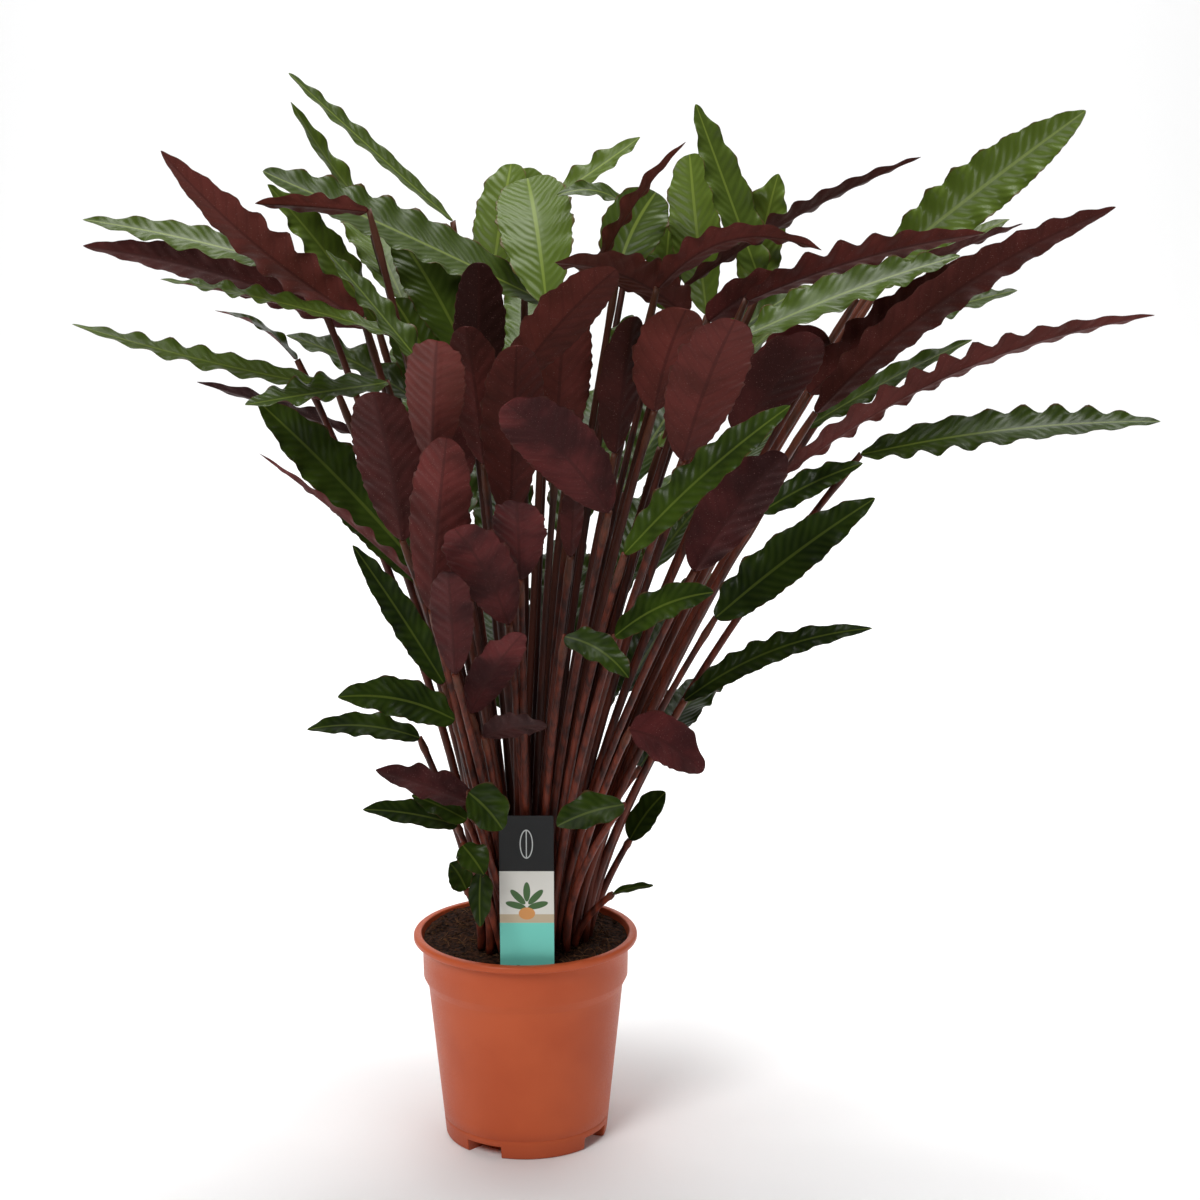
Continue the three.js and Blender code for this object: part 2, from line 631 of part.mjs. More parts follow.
function potSolid() {
  const collarInner = COLLAR_RADIUS - WALL;
  const lipLow = POT_HEIGHT - LIP_HEIGHT;
  let pot = solidOf(lathe([
    [0, 0],
    [FOOT_RADIUS - 2, 0],
    [FOOT_RADIUS, 2],
    [SHOULDER_RADIUS, STEP_BOTTOM],
    [COLLAR_RADIUS - 0.5, STEP_TOP],
    [COLLAR_RADIUS, lipLow],
    [LIP_RADIUS - 1, lipLow],
    [LIP_RADIUS, lipLow + 1.5],
    [LIP_RADIUS, POT_HEIGHT - 2],
    [LIP_RADIUS - 2, POT_HEIGHT],
    [LIP_INNER_RADIUS + 0.8, POT_HEIGHT],
    [LIP_INNER_RADIUS, POT_HEIGHT - 2],
    [collarInner, lipLow - 3],
    [collarInner - 0.5, STEP_TOP - 1],
    [SHOULDER_RADIUS - WALL, STEP_BOTTOM - 1],
    [FOOT_RADIUS - WALL, 4],
    [FOOT_RADIUS - WALL - 2, WALL],
    [0, WALL],
  ], POT_SIDES));
  for (const angle of RECESS_ANGLES) {
    pot = pot.add(recessSolid(angle, WALL, RECESS_INNER - WALL, FOOT_RADIUS - RECESS_COVER));
  }
  for (const angle of RECESS_ANGLES) {
    pot = pot.subtract(recessSolid(angle, 0, RECESS_INNER, FOOT_RADIUS + 8));
    const slot = block(SLOT_WIDTH, 8, SLOT_HIGH - SLOT_LOW, 0, -RECESS_INNER, (SLOT_HIGH + SLOT_LOW) / 2);
    const turned = new THREE.Matrix4().makeRotationZ(THREE.MathUtils.degToRad(angle + 90));
    pot = pot.subtract(solidOf(slot, turned));
  }
  return pot;
}

function tagGeometry(grow) {
  const half = TAG_WIDTH / 2 + grow;
  const point = TAG_POINT_WIDTH / 2 + grow;
  const high = grow ? SOIL_MIDDLE + 30 : TAG_TOP;
  const shape = new THREE.Shape([
    new THREE.Vector2(-point, TAG_POINT - grow),
    new THREE.Vector2(point, TAG_POINT - grow),
    new THREE.Vector2(half, TAG_SHOULDER - 12),
    new THREE.Vector2(half, high),
    new THREE.Vector2(-half, high),
    new THREE.Vector2(-half, TAG_SHOULDER - 12),
  ]);
  const depth = TAG_THICK + 2 * grow;
  const geometry = new THREE.ExtrudeGeometry(shape, { depth, bevelEnabled: false });
  geometry.translate(0, -TAG_POINT, -depth / 2).rotateX(Math.PI / 2 + TAG_LEAN);
  return geometry.translate(TAG_X, TAG_FOOT_Y, TAG_POINT);
}

function unevenSoil(geometry) {
  const { position } = geometry.attributes;
  for (let i = 0; i < position.count; i += 1) {
    const [x, y, z] = [position.getX(i), position.getY(i), position.getZ(i)];
    const roll = SOIL_UNEVEN * Math.sin(0.11 * x + 1.3) * Math.cos(0.13 * y - 0.4);
    if (z > SOIL_EDGE - 3) position.setZ(i, z + roll);
  }
  return geometry;
}

function soilSolid(shoots) {
  const shoulder = SHOULDER_RADIUS - WALL - FIT_GAP;
  const collar = COLLAR_RADIUS - WALL - 0.5 - FIT_GAP;
  const bottom = WALL + FIT_GAP;
  let soil = solidOf(unevenSoil(lathe([
    [0, bottom],
    [FOOT_RADIUS - WALL - 3, bottom],
    [FOOT_RADIUS - WALL - 0.8, 6],
    [shoulder - 0.6, STEP_BOTTOM - 3],
    [collar - 1.2, STEP_TOP],
    [collar - 0.8, POT_HEIGHT - LIP_HEIGHT - 3],
    [rimWall(SOIL_EDGE) - 1.2, SOIL_EDGE],
    [72, SOIL_MIDDLE - 1],
    [38, SOIL_MIDDLE],
    [0, SOIL_MIDDLE],
  ], POT_SIDES)));
  for (const angle of RECESS_ANGLES) {
    soil = soil.subtract(recessSolid(angle, WALL + 0.5, RECESS_INNER - WALL - 0.5, FOOT_RADIUS + 8));
  }
  for (const shoot of shoots) soil = soil.subtract(sheath(shoot, FIT_GAP));
  return soil.subtract(solidOf(tagGeometry(FIT_GAP)));
}

const potPlastic = new THREE.MeshStandardMaterial({ color: 0xb05434, roughness: 0.45, metalness: 0 });
const peat = new THREE.MeshStandardMaterial({ color: 0x2e1a14, roughness: 0.95, metalness: 0 });
const tagPlastic = new THREE.MeshStandardMaterial({ color: 0x78d6c6, roughness: 0.4, metalness: 0 });
const leafGreen = new THREE.MeshStandardMaterial({ color: 0x4c6a2c, roughness: 0.45, metalness: 0 });
const leafWine = new THREE.MeshStandardMaterial({ color: 0x5c3034, roughness: 0.7, metalness: 0 });

const leaves = SIGHTED.map(sightedLeaf);
for (let index = 0; index < REAR_COUNT; index += 1) leaves.push(rearLeaf(index));
leaves.forEach(addCrown);
const shoots = pairUp(leaves);
spaceCrown(shoots);
for (const shoot of shoots) {
  for (const member of shoot.members) leaves[member].crown = shoot.point;
}
settle(leaves);

const plant = new THREE.Group();
plant.add(meshOf('pot', potSolid(), potPlastic));
plant.add(meshOf('soil', soilSolid(shoots), peat));
plant.add(meshOf('care_tag', solidOf(tagGeometry(0)), tagPlastic));
fuseCrossing(shoots, leaves).forEach(({ solid, members }, index) => {
  plant.add(meshOf(`shoot_${String(index + 1).padStart(2, '0')}`, solid, leafColour(members, leaves)));
});

export default plant;
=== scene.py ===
# %% [markdown]
# # A potted prayer plant with long waved leaves
#
# This lesson builds about a hundred velvety leaves as grids of points, gives each a two-faced leaf
# material, and sets them in a grower's pot. All leaf shapes come from one table and a few rules, so
# every step is short.

import math

import bmesh
import bpy
import numpy as np
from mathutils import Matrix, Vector


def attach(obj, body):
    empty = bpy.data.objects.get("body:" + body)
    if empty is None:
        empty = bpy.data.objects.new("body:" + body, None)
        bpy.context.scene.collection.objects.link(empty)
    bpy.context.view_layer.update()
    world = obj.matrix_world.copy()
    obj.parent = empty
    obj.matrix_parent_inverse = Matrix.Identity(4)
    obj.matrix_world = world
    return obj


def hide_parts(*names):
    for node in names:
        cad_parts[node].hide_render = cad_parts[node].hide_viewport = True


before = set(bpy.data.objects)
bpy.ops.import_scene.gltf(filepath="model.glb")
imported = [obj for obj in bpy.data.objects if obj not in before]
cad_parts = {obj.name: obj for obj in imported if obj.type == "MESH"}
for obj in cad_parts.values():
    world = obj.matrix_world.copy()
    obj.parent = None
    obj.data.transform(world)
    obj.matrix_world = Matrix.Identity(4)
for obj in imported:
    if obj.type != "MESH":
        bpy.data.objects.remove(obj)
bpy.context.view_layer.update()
MM = 0.001
print("nodes in the frame:", len(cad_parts))

# %% [markdown]
# ## The leaf table
#
# Each row places one leaf as seen from the front: where its blade starts and ends, in mm across and
# mm up on the upright plane through the pot's axis, with each point's depth (front is negative). Then
# come the blade's width, its arch, its turn (0 shows the green face to the eye, 90 the edge, 180 the
# wine-red face), and how calm its margins are, from 0 for strongly waved to 1 for nearly smooth.

# %% The leaf table
SIGHTED = [
    # left side, from the top down
    [-61, 858, 60, -204, 986, 50, 28, 0, 62, 0.5],
    [-138, 868, 58, -202, 964, 44, 28, -2, 60, 0],
    [26, 785, 24, -229, 902, -20, 66, 4, 56, 0.6],
    [-122, 778, 50, -213, 894, 26, 44, 4, 42, 0],
    [-144, 770, -60, -318, 920, -60, 46, -8, 142, 0],
    [-190, 812, -30, -390, 858, -30, 39, 5, 53, 0],
    [-140, 765, -20, -391, 838, -10, 46, 12, 135, 0],
    [-104, 757, -80, -319, 809, -70, 38, 6, 72, 0],
    [-88, 722, -95, -176, 829, -80, 40, 2, 62, 0],
    [-168, 710, -45, -403, 767, -60, 34, -3, 60, 0],
    [-202, 735, -20, -275, 779, -10, 22, 10, 76, 0],
    [-90, 695, 12, -211, 757, 18, 50, 8, 60, 0],
    [-151, 668, 20, -293, 715, 20, 28, 3, 115, 0],
    [-122, 714, -54, -250, 694, -140, 44, 2, 62, 0],
    [-80, 524, -60, -240, 697, -90, 58, 5, 28, 0.3],
    [-90, 515, -100, -242, 645, -110, 24, 4, 103, 0],
    [-72, 438, -85, -150, 574, -110, 30, 2, 22, 0],
    [-58, 408, -96, -166, 434, -120, 40, 9, 28, 0],
    [-97, 384, -60, -201, 392, -80, 28, 8, 38, 0],
    [-52, 322, -103, -138, 353, -125, 34, 3, 145, 0],
    [-52, 300, -92, -104, 327, -95, 26, 2, 32, 0],
    [-63, 300, -70, -151, 315, -90, 28, 4, 38, 0],
    [-52, 330, -122, -21, 296, -124, 42, 3, 28, 0.3],
    [-58, 284, -95, -38, 257, -105, 30, 2, 22, 0],
    [-50, 236, -72, -66, 262, -80, 28, 2, 22, 0],
    [-42, 260, -85, -43, 203, -100, 24, 2, 28, 0],
    # front, wine-red faces towards the eye
    [-82, 640, -175, -76, 752, -290, 48, 12, 172, 0.85],
    [-80, 505, -160, -68, 662, -240, 50, 10, 172, 0.85],
    [-112, 565, -115, -134, 706, -190, 60, 8, 166, 0.85],
    [-15, 490, -150, -62, 583, -230, 50, 8, 170, 0.85],
    [-62, 448, -145, -68, 545, -215, 36, 6, 172, 0.85],
    [-55, 408, -95, 0, 489, -170, 36, 6, 165, 0.35],
    [-38, 385, -110, 20, 397, -170, 28, 4, 140, 0.35],
    [-4, 530, -160, -6, 602, -235, 44, 8, 170, 0.85],
    [78, 596, -180, -14, 696, -265, 58, 8, 162, 0.85],
    [146, 640, -170, 192, 768, -260, 60, 8, 168, 0.85],
    [156, 542, -140, 237, 650, -170, 54, 6, 155, 0.6],
    [-45, 690, -40, -38, 822, -60, 46, 6, 170, 0.9],
    [-35, 640, -125, -50, 765, -170, 44, 6, 168, 0.9],
    [-12, 590, -140, -5, 748, -205, 52, 8, 170, 0.9],
    [43, 555, -125, 47, 628, -180, 20, 4, 170, 0.35],
    [-8, 715, -90, 84, 816, -130, 50, 6, 155, 0.7],
    [150, 775, 0, 33, 820, -90, 60, 14, 122, 0.4],
    [195, 665, -70, 265, 756, -110, 58, 6, 155, 0.85],
    [98, 392, -115, 166, 352, -165, 45, 8, 155, 0.35],
    [92, 320, -120, 30, 299, -145, 36, 4, 35, 0.35],
    [98, 286, -10, 131, 332, -15, 30, 3, 30, 0.35],
    [82, 233, -50, 120, 241, -60, 14, 2, 60, 0.35],
    [92, 560, -180, 240, 697, -205, 38, 6, 35, 0.3],
    [82, 478, -150, 173, 520, -185, 34, 8, 35, 0.3],
    [40, 482, -150, 98, 444, -172, 32, 8, 35, 0],
    # right side, from the bottom up
    [148, 420, -50, 320, 488, -70, 28, 14, 30, 0],
    [176, 498, -80, 320, 609, -110, 46, 4, 22, 0],
    [217, 597, -60, 308, 641, -80, 28, 4, 30, 0],
    [306, 649, -70, 576, 679, -100, 47, 9, 52, 0],
    [238, 632, -90, 567, 775, -120, 46, 25, 112, 0],
    [264, 688, -60, 527, 872, -70, 42, 20, 147, 0],
    [257, 706, -30, 412, 832, -40, 46, 4, 148, 0],
    [203, 757, -60, 391, 826, -50, 50, 6, 52, 0],
    [200, 790, -10, 412, 849, -30, 42, 10, 125, 0],
    [300, 790, 20, 446, 856, 10, 30, 5, 108, 0],
    [328, 824, 60, 498, 955, 60, 56, 2, 16, 0.15],
    [150, 802, 30, 355, 914, 20, 38, 9, 108, 0],
    [120, 800, -50, 267, 833, -90, 36, 28, 122, 0],
    [255, 673, -20, 404, 753, -30, 32, 4, 55, 0],
    [320, 760, 40, 443, 797, 50, 40, 4, 60, 0],
    [320, 800, 80, 434, 860, 90, 40, 4, 58, 0],
    [207, 699, -20, 276, 754, -30, 60, 5, 152, 0.85],
    [160, 735, 30, 248, 800, 40, 44, 5, 48, 0],
    [165, 770, -2, 241, 811, 0, 36, 5, 142, 0],
    # top and middle
    [166, 775, 60, 149, 917, 110, 50, 10, 18, 1],
    [215, 800, 36, 152, 961, 60, 44, 2, 38, 0.2],
    [208, 800, 100, 228, 900, 110, 56, 4, 35, 0],
    [27, 884, 88, 102, 932, 102, 34, 0, 55, 0],
    [104, 862, 60, 33, 878, 40, 24, 14, 58, 0],
    [85, 814, 30, 117, 884, 60, 58, 6, 14, 0.9],
    [128, 780, 90, 133, 864, 110, 42, 4, 38, 0],
    [66, 813, -10, 146, 928, -20, 34, 8, 108, 0],
    [25, 785, 0, 10, 894, 110, 70, 16, 4, 1],
    [-30, 795, 62, -9, 910, 126, 50, 10, 22, 0.9],
    [2, 800, 80, 2, 906, 130, 50, 6, 15, 1],
    [-115, 781, 42, -165, 875, 120, 60, 8, 38, 0.5],
    [-50, 740, 10, -112, 850, 40, 56, 5, 25, 0.5],
    [-70, 680, 2, -115, 790, 28, 60, 8, 20, 0.5],
    [-135, 868, -44, -236, 874, -36, 26, 2, 128, 0],
    [84, 650, -40, 101, 772, -80, 44, 4, 150, 0.85],
    [79, 727, 20, 99, 775, 44, 30, 3, 30, 0],
    [30, 640, -50, 40, 790, -80, 60, 6, 165, 0.85],
    [117, 692, -50, 145, 783, -90, 58, 6, 165, 1],
    [-72, 600, -50, -60, 740, -90, 50, 6, 165, 0.85],
]
EYE = np.array([70.0, -2330.0, 1000.0])
DEPTH_STRETCH = 1.25
REAR_COUNT = 15
REAR_FAN_MIDDLE, REAR_FAN_LOW, REAR_FAN_HIGH = 78.0, 50.0, 120.0
REAR_LOW, REAR_HIGH = 280.0, 660.0
REAR_WIDTH, REAR_NARROWING, REAR_CALM, REAR_ARCH = 66.0, 10.0, 0.3, 12.0
REAR_FOOT_OUT, REAR_TIP_OUT, REAR_RISE = (130.0, 50.0), (330.0, -10.0), (170.0, -110.0)
GOLDEN = 0.6180339887
UP = np.array([0.0, 0.0, 1.0])


def sight(across, height, sighted_depth):
    """Point at a depth that the eye sees at (across, height) on the plane y = 0, moved along the ray."""
    depth = DEPTH_STRETCH * sighted_depth
    stretch = 1 + depth / -EYE[1]
    return np.stack([EYE[0] + (across - EYE[0]) * stretch, depth, EYE[2] + (height - EYE[2]) * stretch], -1)


rows = np.array(SIGHTED, float)
index = np.arange(REAR_COUNT)
rear_turn = index * GOLDEN % 1.0
rear_level = (index + 0.5) / REAR_COUNT
rear_fan = REAR_FAN_HIGH + (REAR_FAN_LOW - REAR_FAN_HIGH) * rear_level
rear_angle = np.radians(REAR_FAN_MIDDLE + rear_fan * (rear_turn - 0.5))
rear_out = np.stack([np.cos(rear_angle), np.sin(rear_angle), np.zeros(REAR_COUNT)], -1)
rear_height = (REAR_HIGH + (REAR_LOW - REAR_HIGH) * rear_level)[:, None] * UP


def rear_value(first, change):
    """A length that changes in step with the level, from the highest rear leaf to the lowest."""
    return (first + change * rear_level)[:, None]


rear_foot = rear_out * rear_value(*REAR_FOOT_OUT) + rear_height
rear_tip = rear_out * rear_value(*REAR_TIP_OUT) + rear_height + rear_value(*REAR_RISE) * UP

foot = np.vstack([sight(rows[:, 0], rows[:, 1], rows[:, 2]), rear_foot])
tip = np.vstack([sight(rows[:, 3], rows[:, 4], rows[:, 5]), rear_tip])
width = np.concatenate([rows[:, 6], REAR_WIDTH - REAR_NARROWING * rear_level])
arch = np.concatenate([rows[:, 7], np.full(REAR_COUNT, REAR_ARCH)])
turn = np.concatenate([np.radians(rows[:, 8]), np.full(REAR_COUNT, np.nan)])
calm = np.concatenate([rows[:, 9], np.full(REAR_COUNT, REAR_CALM)])
LEAVES = len(foot)
print("leaves:", LEAVES)

# %% [markdown]
# ## Stalks in one family of curves
#
# Every stalk follows radius = crown radius x (1 + (height / rise) ^ flare), so neighbours never
# cross. The crown point is found by running that curve backwards from the blade's foot. Stalks leave
# the soil in twos.

# %% Crown points
SOIL_MIDDLE, SOIL_EDGE = 194.0, 192.5
CROWN_RADIUS, CROWN_SPACING, CROWN_ROUNDS = 62.0, 14.0, 80
CROWN_LIMIT = CROWN_RADIUS + 4
STALK_RISE, STALK_FLARE = 150.0, 1.4


def unit(vectors):
    """Vectors scaled to length 1."""
    return vectors / np.maximum(np.linalg.norm(vectors, axis=-1, keepdims=True), 1e-12)


reach = np.hypot(foot[:, 0], foot[:, 1])
spread = 1 + (np.maximum(foot[:, 2] - SOIL_MIDDLE, 1) / STALK_RISE) ** STALK_FLARE
out = np.stack([foot[:, 0] / reach, foot[:, 1] / reach, np.zeros(LEAVES)], -1)
start = np.minimum(reach / spread, CROWN_RADIUS)

crown_wish = out * start[:, None]
single = sorted(range(LEAVES), key=lambda leaf: (-start[leaf], leaf))
shoots = []
while single:
    first = single.pop(0)
    gaps = [np.linalg.norm(crown_wish[first] - crown_wish[other]) for other in single]
    shoots.append([first] + ([single.pop(int(np.argmin(gaps)))] if single else []))
point = np.array([crown_wish[members].mean(0) for members in shoots])
for _ in range(CROWN_ROUNDS):
    apart = point[:, None] - point[None]
    gap = np.maximum(np.linalg.norm(apart, axis=-1), 0.01)
    strength = np.where(gap < CROWN_SPACING, (CROWN_SPACING - gap) / gap / 3, 0)
    point = point + (apart * strength[..., None]).sum(1)
    far = np.linalg.norm(point, axis=-1, keepdims=True)
    point = np.where(far > CROWN_LIMIT, point / np.maximum(far, 1e-9) * CROWN_LIMIT, point)
crown = np.zeros((LEAVES, 3))
for members, place in zip(shoots, point):
    crown[members] = place
print("shoots:", len(shoots))

# %% [markdown]
# ## Curves of stalk and blade
#
# A stalk is the nested curve plus two easings; a blade is a quadratic curve from foot to tip. Both
# take the shifts that the settling below works out. `top` is the direction in which a blade's green
# face looks.

# %% Curves of stalk and blade
shift = {key: np.zeros((LEAVES, 3)) for key in ("bend", "foot", "tip")}


def stalk_point(t):
    """Points on all stalks at fractions t: nested curve, eased to the crown point and the blade's foot."""
    t = np.asarray(t, float)[None, :, None]
    height = (foot[:, 2] - SOIL_MIDDLE)[:, None, None] * t
    nested = start[:, None, None] * (1 + (np.maximum(height, 0) / STALK_RISE) ** STALK_FLARE)
    radius = nested + (reach - start * spread)[:, None, None] * t * t
    rise = SOIL_MIDDLE + 2 + (foot[:, 2] - SOIL_MIDDLE - 2)[:, None, None] * t
    away = (crown - out * start[:, None])[:, None] * (1 - t) ** 2
    eased = shift["bend"][:, None] * 4 * t * (1 - t) + shift["foot"][:, None] * t * t
    return out[:, None] * radius + UP * rise + away + eased


def blade_frame():
    """Each blade's foot, middle control point, tip and green-face direction."""
    base, end = foot + shift["foot"], tip + shift["tip"]
    along = unit(end - base)
    level = along * [1, 1, 0]
    length = np.linalg.norm(level, axis=-1, keepdims=True)
    heading = unit(level * length + 0.1 * out)
    flat = -heading * along[:, 2:] + UP * length
    flat = unit(flat - along * (flat * along).sum(-1, keepdims=True))
    view = EYE - base
    view = unit(view - along * (view * along).sum(-1, keepdims=True))
    rise = np.cross(along, view)
    rise = np.where((rise[:, 2] - 0.3 * (rise * out).sum(-1))[:, None] < 0, -rise, rise)
    turned = view * np.cos(turn)[:, None] + rise * np.sin(turn)[:, None]
    top = np.where(np.isnan(turn)[:, None], flat, turned)
    return base, (base + end) / 2 + flat * 2 * arch[:, None], end, top


def blade_centre(base, middle, end, s):
    """Quadratic curve: base (1-s)^2, middle 2s(1-s), end s^2."""
    s = np.asarray(s, float)[None, :, None]
    return base[:, None] * (1 - s) ** 2 + middle[:, None] * 2 * s * (1 - s) + end[:, None] * s * s


def blade_direction(base, middle, end, s):
    """Direction of that curve at s."""
    s = np.asarray(s, float)[None, :, None]
    return unit((middle - base)[:, None] * (1 - s) + (end - middle)[:, None] * s)


LOW_POWER, CALM_LOW_POWER = 0.5, 0.6
HIGH_POWER, CALM_HIGH_POWER = 0.74, 0.44


def half_width(s):
    """Outline s^low (1-s)^high, scaled so that its widest place has the leaf's width. A waved leaf is
    widest below the middle and pointed; a calm one is an oval with a blunt tip."""
    s = np.asarray(s, float)[None]
    low = (LOW_POWER + (CALM_LOW_POWER - LOW_POWER) * calm)[:, None]
    high = (HIGH_POWER + (CALM_HIGH_POWER - HIGH_POWER) * calm)[:, None]
    widest = low / (low + high)
    return 0.5 * width[:, None] * s**low * (1 - s) ** high / (widest**low * (1 - widest) ** high)


# %% [markdown]
# ## The leaves make room for each other
#
# Sample points are set on every stalk and blade. Where points of two leaves are closer than their
# reaches, each leaf gives way, mostly in depth, so that its place in the front view stays. Forty
# rounds are enough.

# %% Settling
SETTLE_ROUNDS, SETTLE_STEP = 40, 0.55
SETTLE_EASE = np.array([0.35, 1.5, 0.35])
SHIFT_LIMIT = np.array([9.0, 45.0, 9.0])
STALK_SAMPLES = np.array([0.15, 0.25, 0.35, 0.45, 0.55, 0.65, 0.75, 0.85, 0.95])
BLADE_SAMPLES = np.array([0.06, 0.18, 0.3, 0.42, 0.54, 0.66, 0.78, 0.9])
ACROSS_SAMPLES = np.array([-0.7, 0.0, 0.7])
STALK_REACH, BLADE_REACH, TAG_REACH = 5.0, 10.0, 7.0
TAG_X, TAG_FOOT_Y, TAG_POINT = 4.0, -78.0, 118.0
TAG_LEAN = math.radians(5)

blade_count = len(BLADE_SAMPLES) * len(ACROSS_SAMPLES)
along_blade = np.repeat(BLADE_SAMPLES, len(ACROSS_SAMPLES))
weight = {
    "bend": np.concatenate([4 * STALK_SAMPLES * (1 - STALK_SAMPLES), np.zeros(blade_count)]),
    "foot": np.concatenate([STALK_SAMPLES**2, 1 - along_blade]),
    "tip": np.concatenate([np.zeros(len(STALK_SAMPLES)), along_blade]),
}
reach_of = np.concatenate([np.full(len(STALK_SAMPLES), STALK_REACH), np.full(blade_count, BLADE_REACH)])
PER_LEAF = len(reach_of)
owner = np.repeat(np.arange(LEAVES), PER_LEAF)
tag_steps = SOIL_MIDDLE + 5 + np.arange(12) * 13.5
tag_height, tag_across = np.meshgrid(tag_steps, [-22, -11, 0, 11, 22], indexing="ij")
tag_depth = TAG_FOOT_Y - (tag_height - TAG_POINT) * math.tan(TAG_LEAN)
tag_samples = np.stack([TAG_X + tag_across, tag_depth, tag_height], -1).reshape(-1, 3)


def sample_points():
    """Sample points of all leaves, stalk first, then three across at each blade station."""
    base, middle, end, top = blade_frame()
    side = unit(np.cross(blade_direction(base, middle, end, BLADE_SAMPLES), top[:, None]))
    offset = half_width(BLADE_SAMPLES)[..., None] * side
    line = blade_centre(base, middle, end, BLADE_SAMPLES)
    blade = line[:, :, None] + offset[:, :, None] * ACROSS_SAMPLES[:, None]
    return np.concatenate([stalk_point(STALK_SAMPLES), blade.reshape(LEAVES, -1, 3)], 1).reshape(-1, 3)


other_owner = np.concatenate([owner, np.full(len(tag_samples), -1)])
other_reach = np.concatenate([np.tile(reach_of, LEAVES), np.full(len(tag_samples), TAG_REACH)])
all_weight = {key: np.tile(values, LEAVES) for key, values in weight.items()}
for _ in range(SETTLE_ROUNDS):
    here = sample_points()
    others = np.vstack([here, tag_samples])
    squared = (here**2).sum(1)[:, None] + (others**2).sum(1)[None] - 2 * here @ others.T
    one, two = np.nonzero(squared < (2 * BLADE_REACH) ** 2)
    apart = here[one] - others[two]
    gap = np.linalg.norm(apart, axis=1)
    wanted = other_reach[one] + other_reach[two]
    near = (owner[one] != other_owner[two]) & (gap < wanted) & (gap >= 1e-6)
    one, apart = one[near], apart[near] * ((wanted - gap) / np.maximum(gap, 1e-6))[near, None] * SETTLE_EASE
    following = {}
    for key, share in all_weight.items():
        push = np.zeros((LEAVES, 3))
        np.add.at(push, owner[one], apart * share[one][:, None])
        total = np.bincount(owner[one], share[one], LEAVES)
        moved = shift[key] + push * (SETTLE_STEP / np.maximum(total, 1))[:, None]
        following[key] = np.clip(moved, -SHIFT_LIMIT, SHIFT_LIMIT)
    shift = following
print("largest shift in mm:", round(float(max(np.abs(v).max() for v in shift.values())), 1))

# %% [markdown]
# ## Fine leaf grids
#
# A blade is a grid of stations along it and columns across it, once for the green face and once for
# the wine-red face; both share their edge points. The margins wave about every 28 mm, and the midrib
# stands out underneath. A stalk is a grid of rings, with the pale swollen joint just under the blade.

# %% Fine leaf grids
WAVE_LENGTH = 28.0
WAVE_SHARE, SCALLOP, KEEL = 0.22, 0.045, 0.2
CALM_WAVE = 0.25
SKIN, RIB_HEIGHT, RIB_REACH = 0.35, 1.5, 1.7
STATIONS, COLUMNS = 96, 17
RINGS, RING_SIDES = 22, 10
STALK_LOW, STALK_HIGH = 4.2, 2.9
JOINT_SWELL, JOINT_PLACE, JOINT_LENGTH = 0.28, 0.955, 0.025
TONE_DRAW, TOP_LIGHT_FROM, TOP_LIGHT_SPAN = 0.25, 650.0, 320.0
FRONT_FROM, FRONT_SPAN, INNER_REACH = 60.0, 120.0, 440.0
LOW_FROM, LOW_SPAN = 560.0, 200.0
STALK_T = np.concatenate([[0], np.linspace(0, 0.9, RINGS - 7), [0.925, 0.95, 0.975, 0.99, 1, 1]])

# stations stand closer together towards the ends of a blade, and columns towards its margins
even = np.linspace(0, 1, STATIONS)
ALONG = 0.45 * even + 0.55 * (1 - np.cos(np.pi * even)) / 2
ACROSS = np.sin(np.linspace(-np.pi / 2, np.pi / 2, COLUMNS))


def grid_faces(lines, columns, first=0):
    """Four-sided faces between neighbours of a grid whose points are numbered line by line."""
    corner = first + np.arange(lines - 1)[:, None] * columns + np.arange(columns - 1)[None]
    return np.stack([corner, corner + columns, corner + columns + 1, corner + 1], -1).reshape(-1, 4)


def ring_faces(lines, sides, first=0):
    """Faces of a tube: the grid closes on itself after the last side."""
    line = np.arange(lines - 1)[:, None] * sides
    here, after = np.arange(sides)[None], (np.arange(sides)[None] + 1) % sides
    corners = [line + here, line + after, line + sides + after, line + sides + here]
    return first + np.stack(corners, -1).reshape(-1, 4)


base, middle, end, green_side = blade_frame()
centre = blade_centre(base, middle, end, ALONG)
direction = blade_direction(base, middle, end, ALONG)
side = unit(np.cross(direction, green_side[:, None]))
top = np.cross(side, direction)
length = np.linalg.norm(np.diff(centre, axis=1), axis=-1).sum(1)
waves = np.maximum(np.round(length / WAVE_LENGTH), 2)
rng = np.random.default_rng(11)
wave_start = rng.uniform(0, 2 * np.pi, (LEAVES, 2))
wave_drift = rng.uniform(0.5, 1.6, (LEAVES, 2))
# tone is painted light that lightens high leaves, shade painted shade deep in the plant and low; both add a
# random draw
tone_and_top_light = np.clip(rng.uniform(-TONE_DRAW, TONE_DRAW, LEAVES) + (tip[:, 2] - TOP_LIGHT_FROM) / TOP_LIGHT_SPAN, 0, 1)
front = np.clip((-foot[:, 1] - FRONT_FROM) / FRONT_SPAN, 0, 1)
inner = np.clip(1 - np.linalg.norm((foot + tip)[:, :2], axis=1) / INNER_REACH, 0, 1) * (1 - front)
low = np.clip((LOW_FROM - foot[:, 2]) / LOW_SPAN, 0, 1)
stalk_shade = np.clip(1.4 * (1 - start / CROWN_RADIUS), 0, 1)
shade = np.clip(rng.uniform(-0.5, 1, LEAVES) * (1 - 0.5 * front) + 0.65 * inner + 0.3 * low, 0, 1)


